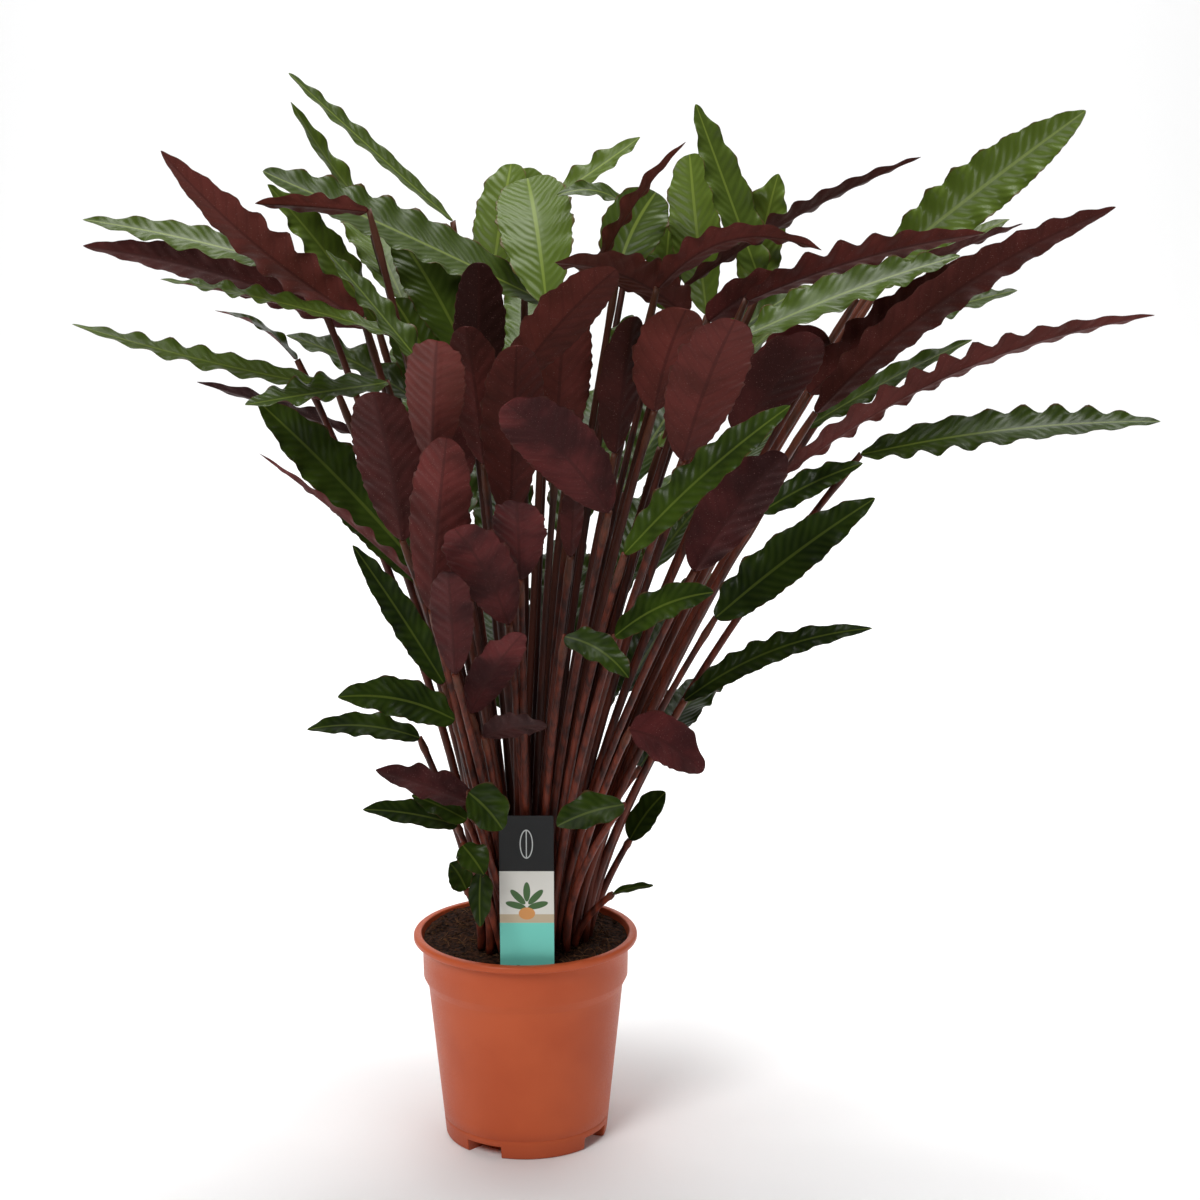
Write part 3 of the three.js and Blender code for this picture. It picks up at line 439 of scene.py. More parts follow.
def blade_points(leaf):
    """Green and wine-red grids of one blade. Offsets: across = half width x column; lift = half width x
    (keel |column|^1.3 + wave share x cos(wave) x |column|^2.4); thickness falls to nothing at the margins.
    The wave's phase and height drift along the blade, so that no two waves are quite alike."""
    half = half_width(ALONG)[leaf][:, None]
    along = ALONG[:, None]
    margin = np.where(ACROSS > 0, 0, 1)[None]
    begin, drift = wave_start[leaf][margin], wave_drift[leaf][margin]
    phase = 2 * np.pi * waves[leaf] * along + begin
    wave = np.cos(phase + drift * np.sin(5 * along + 2 * begin))
    wave = wave * (0.75 + 0.4 * np.sin(7 * along + 3 * phase[:1]))
    rim = np.abs(ACROSS[None])
    notch = wave + 0.5 * np.cos(2.7 * phase)
    across = half * ACROSS[None] * (1 + SCALLOP * notch * rim**2)
    wave = wave * (1 + (CALM_WAVE - 1) * calm[leaf])
    lift = half * (KEEL * (rim**1.3 - 0.5) + WAVE_SHARE * wave * rim**2.4)
    fall = (1 - rim**6) * np.minimum(1, half / 4)
    ridge = RIB_HEIGHT * np.exp(-((half * ACROSS[None] / RIB_REACH) ** 2)) * (1 - along) ** 0.6
    mid = centre[leaf][:, None] + side[leaf][:, None] * across[..., None]
    upper = mid + top[leaf][:, None] * (lift + SKIN * fall + 0.25 * ridge)[..., None]
    lower = mid + top[leaf][:, None] * (lift - (SKIN + ridge) * fall)[..., None]
    return upper, lower, np.broadcast_to(half, wave.shape), across


def leaf_arrays(leaf, stalk_centre, stalk_side, stalk_front, stalk_radius):
    """Points, faces and per-point values of one leaf, its two blade faces welded along the margins."""
    upper, lower, half, across = blade_points(leaf)
    inner = lower[:, 1:-1]
    count = STATIONS * COLUMNS
    number = count + np.arange(STATIONS * (COLUMNS - 2)).reshape(STATIONS, COLUMNS - 2)
    upper_number = np.arange(count).reshape(STATIONS, COLUMNS)
    lower_number = np.concatenate([upper_number[:, :1], number, upper_number[:, -1:]], 1)
    blade_faces = grid_faces(STATIONS, COLUMNS)
    under = lower_number.ravel()[blade_faces][:, ::-1]
    turn_round = np.linspace(0, 2 * np.pi, RING_SIDES, endpoint=False)
    cosine, sine = np.cos(turn_round)[:, None], np.sin(turn_round)[:, None]
    around = stalk_side[:, None] * cosine + stalk_front[:, None] * sine
    tube = stalk_centre[:, None] + around * stalk_radius[:, None, None]
    first = count + inner.shape[0] * inner.shape[1]
    tube_faces = ring_faces(len(stalk_centre), RING_SIDES, first)
    faces = np.vstack([blade_faces, under, tube_faces])
    kind = np.repeat([0, 1, 2], [len(blade_faces), len(under), len(tube_faces)])
    points = np.vstack([upper.reshape(-1, 3), inner.reshape(-1, 3), tube.reshape(-1, 3)])
    tube_count = tube.shape[0] * tube.shape[1]
    station = np.repeat(ALONG[:, None] * length[leaf], COLUMNS, 1)
    stalk_t = np.repeat(STALK_T, RING_SIDES)
    values = {
        "along_mm": np.concatenate([station.ravel(), station[:, 1:-1].ravel(), stalk_t * 100]),
        "across_mm": np.concatenate([across.ravel(), across[:, 1:-1].ravel(), np.zeros(tube_count)]),
        "half_mm": np.concatenate([half.ravel(), half[:, 1:-1].ravel(), np.ones(tube_count)]),
        "tone_and_top_light": np.full(len(points), tone_and_top_light[leaf]),
        "shade": np.repeat([shade[leaf], stalk_shade[leaf]], [first, tube_count]),
        "far": np.concatenate([np.repeat(ALONG, COLUMNS), np.repeat(ALONG, COLUMNS - 2), stalk_t]),
    }
    return points, faces, kind, values


stalk = stalk_point(STALK_T)
entry = centre[:, 1] - centre[:, 0]
steps = np.linspace(0, 1, 60)
dense = np.gradient(stalk_point(steps), axis=1)
tangent = np.array([[np.interp(STALK_T, steps, dense[leaf, :, axis]) for axis in range(3)]
                    for leaf in range(LEAVES)]).transpose(0, 2, 1)
tangent[:, -3:] = unit(unit(tangent[:, -3:]) + unit(entry)[:, None])
tangent = unit(tangent)
ring_side = unit(np.cross(tangent, np.cross(UP, out)[:, None]))
ring_front = np.cross(tangent, ring_side)
joint = 1 + JOINT_SWELL * np.exp(-(((STALK_T - JOINT_PLACE) / JOINT_LENGTH) ** 2))
radius = (STALK_LOW + (STALK_HIGH - STALK_LOW) * STALK_T) * joint
radius[[0, -1]] = 0
print("points on each leaf:", STATIONS * (2 * COLUMNS - 2) + len(STALK_T) * RING_SIDES)

# %% [markdown]
# ## Colour helpers and effect groups
#
# Material effects that several materials share are node groups that output masks and colours only. A
# small helper adds nodes with their inputs set, so that each material reads like a list.

# %% Node helpers


def link(tree, source, target):
    """Connects an output to an input."""
    tree.links.new(source, target)


def add(tree, kind, inputs=(), **settings):
    """New node with settings; inputs is a dict of socket name or number to a value or an output."""
    node = tree.nodes.new(kind)
    for name, value in settings.items():
        setattr(node, name, value)
    for name, value in dict(inputs).items():
        socket = node.inputs[name]
        if isinstance(value, bpy.types.NodeSocket):
            link(tree, value, socket)
        else:
            socket.default_value = value
    return node


def maths(tree, operation, first, second=0.0, clamp=False):
    """Output of one Math node."""
    node = add(tree, "ShaderNodeMath", {0: first, 1: second}, operation=operation, use_clamp=clamp)
    return node.outputs[0]


def times(tree, first, second):
    """Product of two values."""
    return maths(tree, "MULTIPLY", first, second)


def opposite(tree, mask):
    """One minus a mask."""
    return maths(tree, "SUBTRACT", 1.0, mask)


def mix(tree, factor, first, second):
    """Output of a colour mix."""
    node = add(tree, "ShaderNodeMix", data_type="RGBA")
    for socket, value in ((node.inputs[0], factor), (node.inputs[6], first), (node.inputs[7], second)):
        if isinstance(value, bpy.types.NodeSocket):
            link(tree, value, socket)
        else:
            socket.default_value = value
    return node.outputs[2]


def step(tree, value, low, high):
    """Smooth change from 0 at low to 1 at high."""
    node = add(tree, "ShaderNodeMapRange", {0: value, 1: low, 2: high}, interpolation_type="SMOOTHSTEP")
    return node.outputs[0]


def noise(tree, coordinates, scale, detail):
    """Noise of a scale per metre."""
    inputs = {"Vector": coordinates, "Scale": scale, "Detail": detail}
    return add(tree, "ShaderNodeTexNoise", inputs).outputs["Fac"]


def texture(tree, coordinates, scale, detail, low=0.3, high=0.7):
    """Soft noise, spread to the whole range from 0 to 1."""
    return step(tree, noise(tree, coordinates, scale, detail), low, high)


def places(tree):
    """Object coordinates in metres."""
    return add(tree, "ShaderNodeTexCoord").outputs["Object"]


def bump(tree, shader, strength, depth, height):
    """Bump of a depth in metres on the shader's normal."""
    node = add(tree, "ShaderNodeBump", {"Strength": strength, "Distance": depth, "Height": height})
    link(tree, node.outputs["Normal"], shader.inputs["Normal"])


def attribute(tree, name):
    """A per-point value of the mesh."""
    return add(tree, "ShaderNodeAttribute", attribute_name=name).outputs["Fac"]


def new_material(name, **finish):
    """Material with its Principled shader; finish gives the shader's constants, with _ for a space."""
    material = bpy.data.materials.new(name)
    material.use_nodes = True
    shader = material.node_tree.nodes["Principled BSDF"]
    for socket, value in finish.items():
        shader.inputs[socket.replace("_", " ")].default_value = value
    return material, material.node_tree, shader


def layered(tree, colour, *layers):
    """Colour with others laid over it in turn: each layer is a mask, its largest share and a colour."""
    for mask, share, over in layers:
        colour = mix(tree, times(tree, mask, share), colour, over)
    return colour


def rgb(red, green, blue):
    """Linear colour from the usual 0 to 255 screen values."""
    screen = np.array([red, green, blue]) / 255
    linear = np.where(screen <= 0.04045, screen / 12.92, ((screen + 0.055) / 1.055) ** 2.4)
    return (*linear.tolist(), 1.0)


# %% [markdown]
# The vein group turns the distances along and across a blade into masks. A side vein starts at the
# midrib and sweeps towards the tip: it is a line of constant along - sweep |across| - bend across^2,
# which sways a little with a soft noise.

# %% Vein group
VEIN_SWEEP, VEIN_BEND, VEIN_SWAY = 0.75, 0.012, 14.0


def vein_group():
    """Node group: inputs Along, Across, Half and Spacing in mm; outputs Vein, Rib, Rim and Pleat."""
    tree = bpy.data.node_groups.new("leaf_veins", "ShaderNodeTree")
    for name in ("Along", "Across", "Half", "Spacing"):
        tree.interface.new_socket(name, in_out="INPUT", socket_type="NodeSocketFloat")
    for name in ("Vein", "Rib", "Rim", "Pleat"):
        tree.interface.new_socket(name, in_out="OUTPUT", socket_type="NodeSocketFloat")
    given = tree.nodes.new("NodeGroupInput").outputs
    result = tree.nodes.new("NodeGroupOutput").inputs
    away = maths(tree, "ABSOLUTE", given["Across"])
    bend = times(tree, times(tree, away, away), VEIN_BEND)
    sweep = maths(tree, "ADD", times(tree, away, VEIN_SWEEP), bend)
    place = places(tree)
    sway = noise(tree, place, 30.0, 1.0)
    swayed = maths(tree, "ADD", given["Along"], times(tree, sway, VEIN_SWAY))
    line = maths(tree, "DIVIDE", maths(tree, "SUBTRACT", swayed, sweep), given["Spacing"])
    cycle = maths(tree, "COSINE", times(tree, line, 2 * math.pi))
    pleat = maths(tree, "MULTIPLY_ADD", cycle, 0.5)
    pleat.node.inputs[2].default_value = 0.5
    share = maths(tree, "DIVIDE", away, maths(tree, "MAXIMUM", given["Half"], 0.5))
    reach_rib = maths(tree, "MULTIPLY_ADD", given["Half"], 0.035)
    reach_rib.node.inputs[2].default_value = 0.35
    link(tree, step(tree, pleat, 0.8, 1.0), result["Vein"])
    off_rib = step(tree, maths(tree, "DIVIDE", away, reach_rib), 0.7, 1.5)
    link(tree, opposite(tree, off_rib), result["Rib"])
    link(tree, step(tree, share, 0.95, 1.0), result["Rim"])
    link(tree, times(tree, pleat, step(tree, away, 0.5, 6.0)), result["Pleat"])
    return tree


VEINS = vein_group()

# %% [markdown]
# ## Leaf materials
#
# The green face is glossy enough to catch pale streaks on its pleats. The wine-red underside is
# velvet: rough, with a reddish sheen. The stalks are mahogany. Pleats between the side veins come
# from a bump.

# %% Leaf materials


def blade_base(name, vein_spacing, **finish):
    """Material with the vein group wired to the mesh's values, and what a blade's colours need."""
    material, tree, shader = new_material(name, **finish)
    veins = add(tree, "ShaderNodeGroup", node_tree=VEINS)
    for socket, value in (("Along", "along_mm"), ("Across", "across_mm"), ("Half", "half_mm")):
        link(tree, attribute(tree, value), veins.inputs[socket])
    veins.inputs["Spacing"].default_value = vein_spacing
    return material, tree, shader, veins.outputs, places(tree), attribute(tree, "tone_and_top_light")


def blade_bump(tree, shader, veins, coordinates, depth):
    """Pleats and fine hair grain on the surface."""
    grain = noise(tree, coordinates, 900.0, 2.0)
    height = maths(tree, "ADD", veins["Pleat"], times(tree, grain, 0.08))
    bump(tree, shader, 1.0, depth, height)


def upper_material():
    """Deep green, paler on the pleats, with a yellow-green midrib, a thin brown margin, painted light up
    high and painted shade inside.
    """
    material, tree, shader, veins, coordinates, tone_and_top_light_value = blade_base(
        "leaf_upper", 10.0, Roughness=0.3, Specular_IOR_Level=0.12, Sheen_Weight=0.02, Sheen_Roughness=0.4)
    colour = mix(tree, texture(tree, coordinates, 26.0, 3.0), rgb(24, 37, 9), rgb(48, 66, 14))
    # painted light from above: the tone value lightens high leaves and their midribs; the shade value lays
    # painted shade
    rib_share = maths(tree, "ADD", times(tree, tone_and_top_light_value, 0.2), 0.25)
    colour = layered(
        tree, colour,
        (tone_and_top_light_value, 0.9, rgb(86, 104, 36)),
        (attribute(tree, "shade"), 0.55, rgb(20, 32, 8)),
        (veins["Pleat"], 0.07, rgb(110, 130, 56)),
        (veins["Rib"], rib_share, rgb(132, 148, 62)),
        (veins["Rim"], 0.6, rgb(86, 50, 36)))
    link(tree, colour, shader.inputs["Base Color"])
    blade_bump(tree, shader, veins, coordinates, 0.00036)
    return material


def under_material():
    """Wine-red velvet with darker side veins, specks of dust, painted light up high and painted shade at
    the foot and deep inside.
    """
    material, tree, shader, veins, coordinates, tone_and_top_light_value = blade_base(
        "leaf_under", 14.0, Roughness=0.62, Specular_IOR_Level=0.1, Sheen_Weight=0.07, Sheen_Roughness=0.5,
        Sheen_Tint=(0.95, 0.45, 0.4, 1))
    blotch = texture(tree, coordinates, 22.0, 3.0, 0.32, 0.68)
    colour = mix(tree, blotch, rgb(52, 18, 20), rgb(100, 42, 42))
    # painted light from above: leaves with a high tone value turn a lighter red
    colour = layered(tree, colour, (tone_and_top_light_value, 0.6, rgb(130, 64, 52)))
    # painted shade: the foot of each blade and leaves deep in the plant darken towards near black
    base_shade = times(tree, step(tree, attribute(tree, "far"), 0.75, 0.0), 0.4)
    dark = maths(tree, "MAXIMUM", times(tree, attribute(tree, "shade"), 0.9), base_shade)
    colour = mix(tree, dark, colour, rgb(26, 9, 8))
    dust = texture(tree, coordinates, 1300.0, 0.0, 0.76, 0.82)
    colour = layered(
        tree, colour,
        (dust, 0.4, rgb(168, 130, 122)),
        (veins["Vein"], 0.14, rgb(40, 14, 15)),
        (veins["Rib"], 0.45, rgb(54, 22, 20)),
        (veins["Rim"], 0.5, rgb(70, 40, 30)))
    link(tree, colour, shader.inputs["Base Color"])
    blade_bump(tree, shader, veins, coordinates, 0.0005)
    return material


def stalk_material():
    """Mahogany red-brown, streaked along, with a paler joint under the blade, painted light on high stalks
    and painted shade inside.
    """
    material, tree, shader = new_material("stalk", Roughness=0.5, Specular_IOR_Level=0.28)
    stretched = add(tree, "ShaderNodeMapping", {0: places(tree), 3: (1.0, 1.0, 0.08)}).outputs[0]
    colour = mix(tree, texture(tree, stretched, 160.0, 3.0), rgb(60, 21, 11), rgb(116, 47, 27))
    # painted light from above: stalks of leaves with a high tone value are paler
    pale = step(tree, attribute(tree, "tone_and_top_light"), 0.4, 1.0)
    under_blade = step(tree, attribute(tree, "along_mm"), 92.0, 95.0)
    colour = layered(
        tree, colour,
        (pale, 0.6, rgb(130, 64, 40)),
        (attribute(tree, "shade"), 0.68, rgb(26, 9, 5)),
        (under_blade, 0.3, rgb(96, 60, 38)))
    link(tree, colour, shader.inputs["Base Color"])
    bump(tree, shader, 0.5, 0.0005, noise(tree, stretched, 700.0, 2.0))
    return material


LEAF_MATERIALS = (upper_material(), under_material(), stalk_material())

# %% [markdown]
# ## Meshes from arrays
#
# Points and faces go into Blender in one call each. A grid that runs to a point has many points in
# one place there, so they are welded, which closes the pole. Each CAD node of leaves gets one fine
# piece, which holds the leaves whose tips lie on that node.

# %% Leaf pieces
WELD = 1e-7


def weld(mesh):
    """Merges points that share a place, which closes the poles of a grid without empty faces."""
    shape = bmesh.new()
    shape.from_mesh(mesh)
    bmesh.ops.remove_doubles(shape, verts=shape.verts, dist=WELD)
    shape.to_mesh(mesh)
    shape.free()


def make_piece(name, points, faces, materials, values=(), material_index=None, smooth=True):
    """Mesh object from points in mm and a list of faces, with per-point values stored as attributes."""
    mesh = bpy.data.meshes.new(name)
    mesh.from_pydata((np.asarray(points) * MM).tolist(), [], list(map(list, faces)))
    for key, numbers in dict(values).items():
        layer = mesh.attributes.new(key, "FLOAT", "POINT")
        layer.data.foreach_set("value", np.asarray(numbers, np.float32))
    mesh.polygons.foreach_set("use_smooth", np.full(len(mesh.polygons), smooth))
    for material in materials:
        mesh.materials.append(material)
    if material_index is not None:
        mesh.polygons.foreach_set("material_index", np.asarray(material_index, np.int32))
    weld(mesh)
    mesh.update()
    piece = bpy.data.objects.new(name, mesh)
    bpy.context.scene.collection.objects.link(piece)
    return piece


def node_points(name):
    """All vertices of a CAD node in mm."""
    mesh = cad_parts[name].data
    points = np.empty(len(mesh.vertices) * 3, np.float32)
    mesh.vertices.foreach_get("co", points)
    return points.reshape(-1, 3) / MM


shoot_names = sorted(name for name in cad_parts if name.startswith("shoot_"))
shoot_vertices = [node_points(name) for name in shoot_names]
nearest = np.array([[np.linalg.norm(vertices - place, axis=1).min() for vertices in shoot_vertices]
                    for place in end])
home = nearest.argmin(1)
print("largest distance of a tip from its node in mm:", round(float(nearest.min(1).max()), 2))

for number, name in enumerate(shoot_names):
    parts = [leaf_arrays(leaf, stalk[leaf], ring_side[leaf], ring_front[leaf], radius)
             for leaf in np.flatnonzero(home == number)]
    firsts = np.cumsum([0] + [len(part[0]) for part in parts[:-1]])
    points = np.vstack([part[0] for part in parts])
    faces = np.vstack([part[1] + first for part, first in zip(parts, firsts)])
    kinds = np.concatenate([part[2] for part in parts])
    values = {key: np.concatenate([part[3][key] for part in parts]) for key in parts[0][3]}
    piece = make_piece(f"leaves_{name[-2:]}", points, faces.tolist(), LEAF_MATERIALS, values, kinds)
    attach(piece, "root")
    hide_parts(name)
print("leaf pieces:", len(shoot_names))

# %% [markdown]
# ## The pot
#
# The pot is turned: its profile is swept round the axis as a grid. Inside the angle of each drain
# recess, the points of the foot that lie outside the recess's back wall are lifted to its ceiling.

# %% Pot
POT_HEIGHT, LIP_RADIUS, LIP_HEIGHT, LIP_INNER = 198.0, 105.0, 7.0, 97.5
COLLAR_RADIUS, STEP_TOP, STEP_BOTTOM = 96.5, 157.0, 148.0
SHOULDER_RADIUS, FOOT_RADIUS, WALL = 91.5, 76.5, 2.2
RECESS_ANGLES = (-120, -30, 60, 150)
RECESS_WIDTH, RECESS_HEIGHT, RECESS_INNER, RECESS_MIDDLE = 32.0, 12.0, 58.0, 68.0
TURN_STEP, EDGE_SPLIT, EDGE_CLEAR = 2.5, 0.15, 0.8


def wall_radius(height):
    """Outer radius of the tapered wall below the step."""
    share = (np.asarray(height) - 2) / (STEP_BOTTOM - 2)
    return FOOT_RADIUS + (SHOULDER_RADIUS - FOOT_RADIUS) * share


def pot_profile():
    """Radius and height pairs from the middle of the underside, up, over the lip and down inside."""
    low = POT_HEIGHT - LIP_HEIGHT
    flat = (0, 30, RECESS_INNER - 0.2, RECESS_INNER + 0.2, 66, FOOT_RADIUS - 2)
    outside = [(r, 0) for r in flat] + [(FOOT_RADIUS - 0.6, 0.6), (FOOT_RADIUS, 2)]
    outside += [(float(wall_radius(z)), z) for z in (5, 9, RECESS_HEIGHT - 0.15, RECESS_HEIGHT + 0.15, 15)]
    groove = [(17.2, 0.0), (17.8, 0.55), (18.4, 0.55), (19.0, 0.0)]
    outside += [(float(wall_radius(z)) - dip, z) for z, dip in groove]
    outside += [(float(wall_radius(z)), z) for z in (30, 60, 90, 120, 140, STEP_BOTTOM - 0.8)]
    outside += [(SHOULDER_RADIUS + 0.4, STEP_BOTTOM + 0.4), (COLLAR_RADIUS - 1.0, STEP_TOP - 1.2),
                (COLLAR_RADIUS - 0.45, STEP_TOP), (COLLAR_RADIUS - 0.2, 172), (COLLAR_RADIUS, low - 1.2),
                (COLLAR_RADIUS + 0.5, low - 0.3), (COLLAR_RADIUS + 1.4, low)]
    bend = np.linspace(-np.pi / 2, 0, 6)
    outside += [(LIP_RADIUS - 2.4 + 2.4 * math.cos(t), low + 2.4 + 2.4 * math.sin(t)) for t in bend]
    bend = np.linspace(0, np.pi / 2, 6)
    outside += [(LIP_RADIUS - 3 + 3 * math.cos(t), POT_HEIGHT - 3 + 3 * math.sin(t)) for t in bend]
    outside += [(LIP_INNER + 1.5 - 1.5 * math.sin(t), POT_HEIGHT - 1.5 + 1.5 * math.cos(t)) for t in bend]
    inside = [(LIP_INNER, low + 5), (COLLAR_RADIUS - WALL, low - 3), (COLLAR_RADIUS - WALL - 0.5, STEP_TOP),
              (SHOULDER_RADIUS - WALL, STEP_BOTTOM - 1), (FOOT_RADIUS - WALL, 20), (FOOT_RADIUS - WALL, 16),
              (0, 14.5)]
    return np.array(outside + inside)


def turned_off(angle, middle_angle):
    """Unsigned difference of two angles in degrees."""
    return np.abs((angle - middle_angle + 180) % 360 - 180)


def pot_points():
    """Grid of profile points by angle, with the drain recesses lifted. Each side of a recess gets a
    pair of angles close together, so that it stands upright."""
    edge = math.degrees(math.asin(RECESS_WIDTH / 2 / RECESS_MIDDLE))
    angles = set(np.arange(0, 360, TURN_STEP).tolist())
    for middle_angle in RECESS_ANGLES:
        angles = {angle for angle in angles if abs(turned_off(angle, middle_angle) - edge) > EDGE_CLEAR}
        for offset in (-edge - EDGE_SPLIT, -edge + EDGE_SPLIT, edge - EDGE_SPLIT, edge + EDGE_SPLIT):
            angles.add((middle_angle + offset) % 360)
    angles = np.array(sorted(angles))
    profile = pot_profile()
    r = np.repeat(profile[None, :, 0], len(angles), 0)
    z = np.repeat(profile[None, :, 1], len(angles), 0)
    inside = np.zeros(len(angles), bool)
    for middle_angle in RECESS_ANGLES:
        inside |= turned_off(angles, middle_angle) < edge
    outer = np.arange(len(profile)) < np.argmax(profile[:, 1])
    lifted = inside[:, None] & outer[None] & (r > RECESS_INNER) & (z < RECESS_HEIGHT)
    z = np.where(lifted, RECESS_HEIGHT, z)
    theta = np.radians(angles)[:, None]
    return np.stack([r * np.cos(theta), r * np.sin(theta), z], -1)


def pot_material():
    """Terracotta-coloured satin plastic, unevenly dull, and browner at the foot."""
    material, tree, shader = new_material("pot_plastic", Specular_IOR_Level=0.26)
    coordinates = places(tree)
    grain = noise(tree, coordinates, 700.0, 2.0)
    colour = mix(tree, texture(tree, coordinates, 14.0, 3.0), rgb(190, 84, 46), rgb(199, 92, 52))
    height = add(tree, "ShaderNodeSeparateXYZ", {0: coordinates}).outputs["Z"]
    colour = layered(tree, colour, (step(tree, height, 0.03, 0.0), 0.25, rgb(140, 64, 40)))
    link(tree, colour, shader.inputs["Base Color"])
    link(tree, step(tree, grain, -0.9, 2.2), shader.inputs["Roughness"])
    bump(tree, shader, 0.12, 0.0004, grain)
    return material


turned = pot_points()
last = (turned.shape[0] - 1) * turned.shape[1]
column = np.arange(turned.shape[1] - 1)
seam = np.stack([column + last, column, column + 1, column + last + 1], -1)
pot_faces = np.vstack([grid_faces(*turned.shape[:2]), seam])
pot = make_piece("pot_fine", turned.reshape(-1, 3), pot_faces.tolist(), [pot_material()])
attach(pot, "root")
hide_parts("pot")
print("pot points:", turned.shape)

# %% [markdown]
# ## The soil
#
# The soil is a disc whose height is a sum of rolling waves and small clods. Loose crumbs and pale
# fibres lie on it; each is a small solid, and all belong to the one soil piece.

# %% Soil
SOIL_RADIUS, SOIL_BOTTOM, SOIL_UNDER_RADIUS = 95.2, 120.0, 88.0
SOIL_RINGS, SOIL_SPOKES = 42, 120
CRUMBS, CRUMB_REACH, TAG_CLEAR = 620, 93.0, 27.0
FIBRES, FIBRE_REACH, FIBRE_LIMIT = 150, 84.0, 90.0
FIBRE_STEPS, FIBRE_SIDES = 7, 3
HEAP_X, HEAP_Y, HEAP_REACH, HEAP_HEIGHT = -52.0, 44.0, 34.0, 6.5


def soil_height(x, y):
    """Height of the soil in mm: dished towards the edge, uneven, with clods and a heap at the back left."""
    r = np.hypot(x, y)
    dish = np.interp(r, [0, 38, 72, SOIL_RADIUS], [SOIL_MIDDLE, SOIL_MIDDLE, SOIL_MIDDLE - 1, SOIL_EDGE])
    heap = HEAP_HEIGHT * np.exp(-((x - HEAP_X) ** 2 + (y - HEAP_Y) ** 2) / HEAP_REACH**2)
    roll = 1.0 * np.sin(0.11 * x + 1.3) * np.cos(0.13 * y - 0.4) * (r < 90)
    clods = 0.9 * np.sin(0.55 * x + 1.7 * np.sin(0.31 * y)) * np.sin(0.49 * y + 1.3 * np.sin(0.37 * x))
    return dish + heap + roll + clods


def soil_surface():
    """Rings of the disc's top, a step down its side and a flat underside."""
    top_radii = np.linspace(0, SOIL_RADIUS, SOIL_RINGS)
    radii = np.concatenate([top_radii, [SOIL_RADIUS, SOIL_UNDER_RADIUS, 0]])
    theta = np.linspace(0, 2 * np.pi, SOIL_SPOKES, endpoint=False)
    r, t = np.meshgrid(radii, theta, indexing="ij")
    x, y = r * np.cos(t), r * np.sin(t)
    z = soil_height(x, y)
    z[-3:] = np.array([SOIL_EDGE - 6, SOIL_BOTTOM, SOIL_BOTTOM])[:, None]
    return np.stack([x, y, z], -1)[::-1]


def crumbs(rng_soil):
    """Random flattened eight-sided lumps, each turned and sized by its own draw. Those drawn in front of
    the tag are put on the other side of the pot."""
    corners = np.array([[1, 0, 0], [0, 1, 0], [-1, 0, 0], [0, -1, 0], [0, 0, 1], [0, 0, -1]], float)
    ring = [(0, 1), (1, 2), (2, 3), (3, 0)]
    faces = np.array([(m, n, 4) for m, n in ring] + [(n, m, 5) for m, n in ring])
    r = CRUMB_REACH * np.sqrt(rng_soil.uniform(0, 1, CRUMBS))
    t = rng_soil.uniform(0, 2 * np.pi, CRUMBS)
    x, y = r * np.cos(t), r * np.sin(t)
    ahead = (np.abs(x - TAG_X) < TAG_CLEAR) & (y < TAG_FOOT_Y)
    x, y = np.where(ahead, -x, x), np.where(ahead, -y, y)
    scale = rng_soil.uniform(0.8, 2.8, (CRUMBS, 1, 1)) * rng_soil.uniform(0.6, 1.2, (CRUMBS, 6, 1))
    turn_z = rng_soil.uniform(0, 2 * np.pi, CRUMBS)
    spin = np.stack([np.stack([np.cos(turn_z), -np.sin(turn_z), 0 * turn_z], -1),
                     np.stack([np.sin(turn_z), np.cos(turn_z), 0 * turn_z], -1),
                     np.stack([0 * turn_z, 0 * turn_z, 0 * turn_z + 0.8], -1)], 1)
    place = np.stack([x, y, soil_height(x, y) + 0.4], -1)
    points = np.einsum("nij,nkj->nki", spin, corners[None] * scale) + place[:, None]
    return points.reshape(-1, 3), (faces[None] + 6 * np.arange(CRUMBS)[:, None, None]).reshape(-1, 3)


def fibres(rng_soil):
    """Thin three-sided strands that lie across the soil in shallow arcs."""
    along = np.linspace(-1, 1, FIBRE_STEPS)
    r = FIBRE_REACH * np.sqrt(rng_soil.uniform(0, 1, FIBRES))
    t, heading = rng_soil.uniform(0, 2 * np.pi, (2, FIBRES))
    size = rng_soil.uniform(4, 13, FIBRES)
    bow = rng_soil.uniform(-3, 3, FIBRES)
    ahead_x, ahead_y = np.cos(heading)[:, None], np.sin(heading)[:, None]
    forward, sideways = along * size[:, None], bow[:, None] * (1 - along**2)
    x = (r * np.cos(t))[:, None] + ahead_x * forward - ahead_y * sideways
    y = (r * np.sin(t))[:, None] + ahead_y * forward + ahead_x * sideways
    squeeze = np.minimum(1, FIBRE_LIMIT / np.maximum(np.hypot(x, y), 1))
    x, y = x * squeeze, y * squeeze
    z = soil_height(x, y) + 0.9 + 0.5 * np.cos(along * 4)
    corner = np.linspace(0, 2 * np.pi, FIBRE_SIDES, endpoint=False)
    thick = np.where(np.abs(along) < 1, 0.32 * (1 - 0.8 * np.abs(along)), 0)[None, :, None]
    across = np.stack([-np.sin(heading), np.cos(heading), 0 * heading], -1)[:, None, None]
    ring = across * np.cos(corner)[:, None] + UP * np.sin(corner)[:, None]
    points = np.stack([x, y, z], -1)[:, :, None] + ring * thick[..., None]
    firsts = FIBRE_STEPS * FIBRE_SIDES * np.arange(FIBRES)[:, None, None]
    faces = ring_faces(FIBRE_STEPS, FIBRE_SIDES)[None] + firsts
    return points.reshape(-1, 3), faces.reshape(-1, 4)


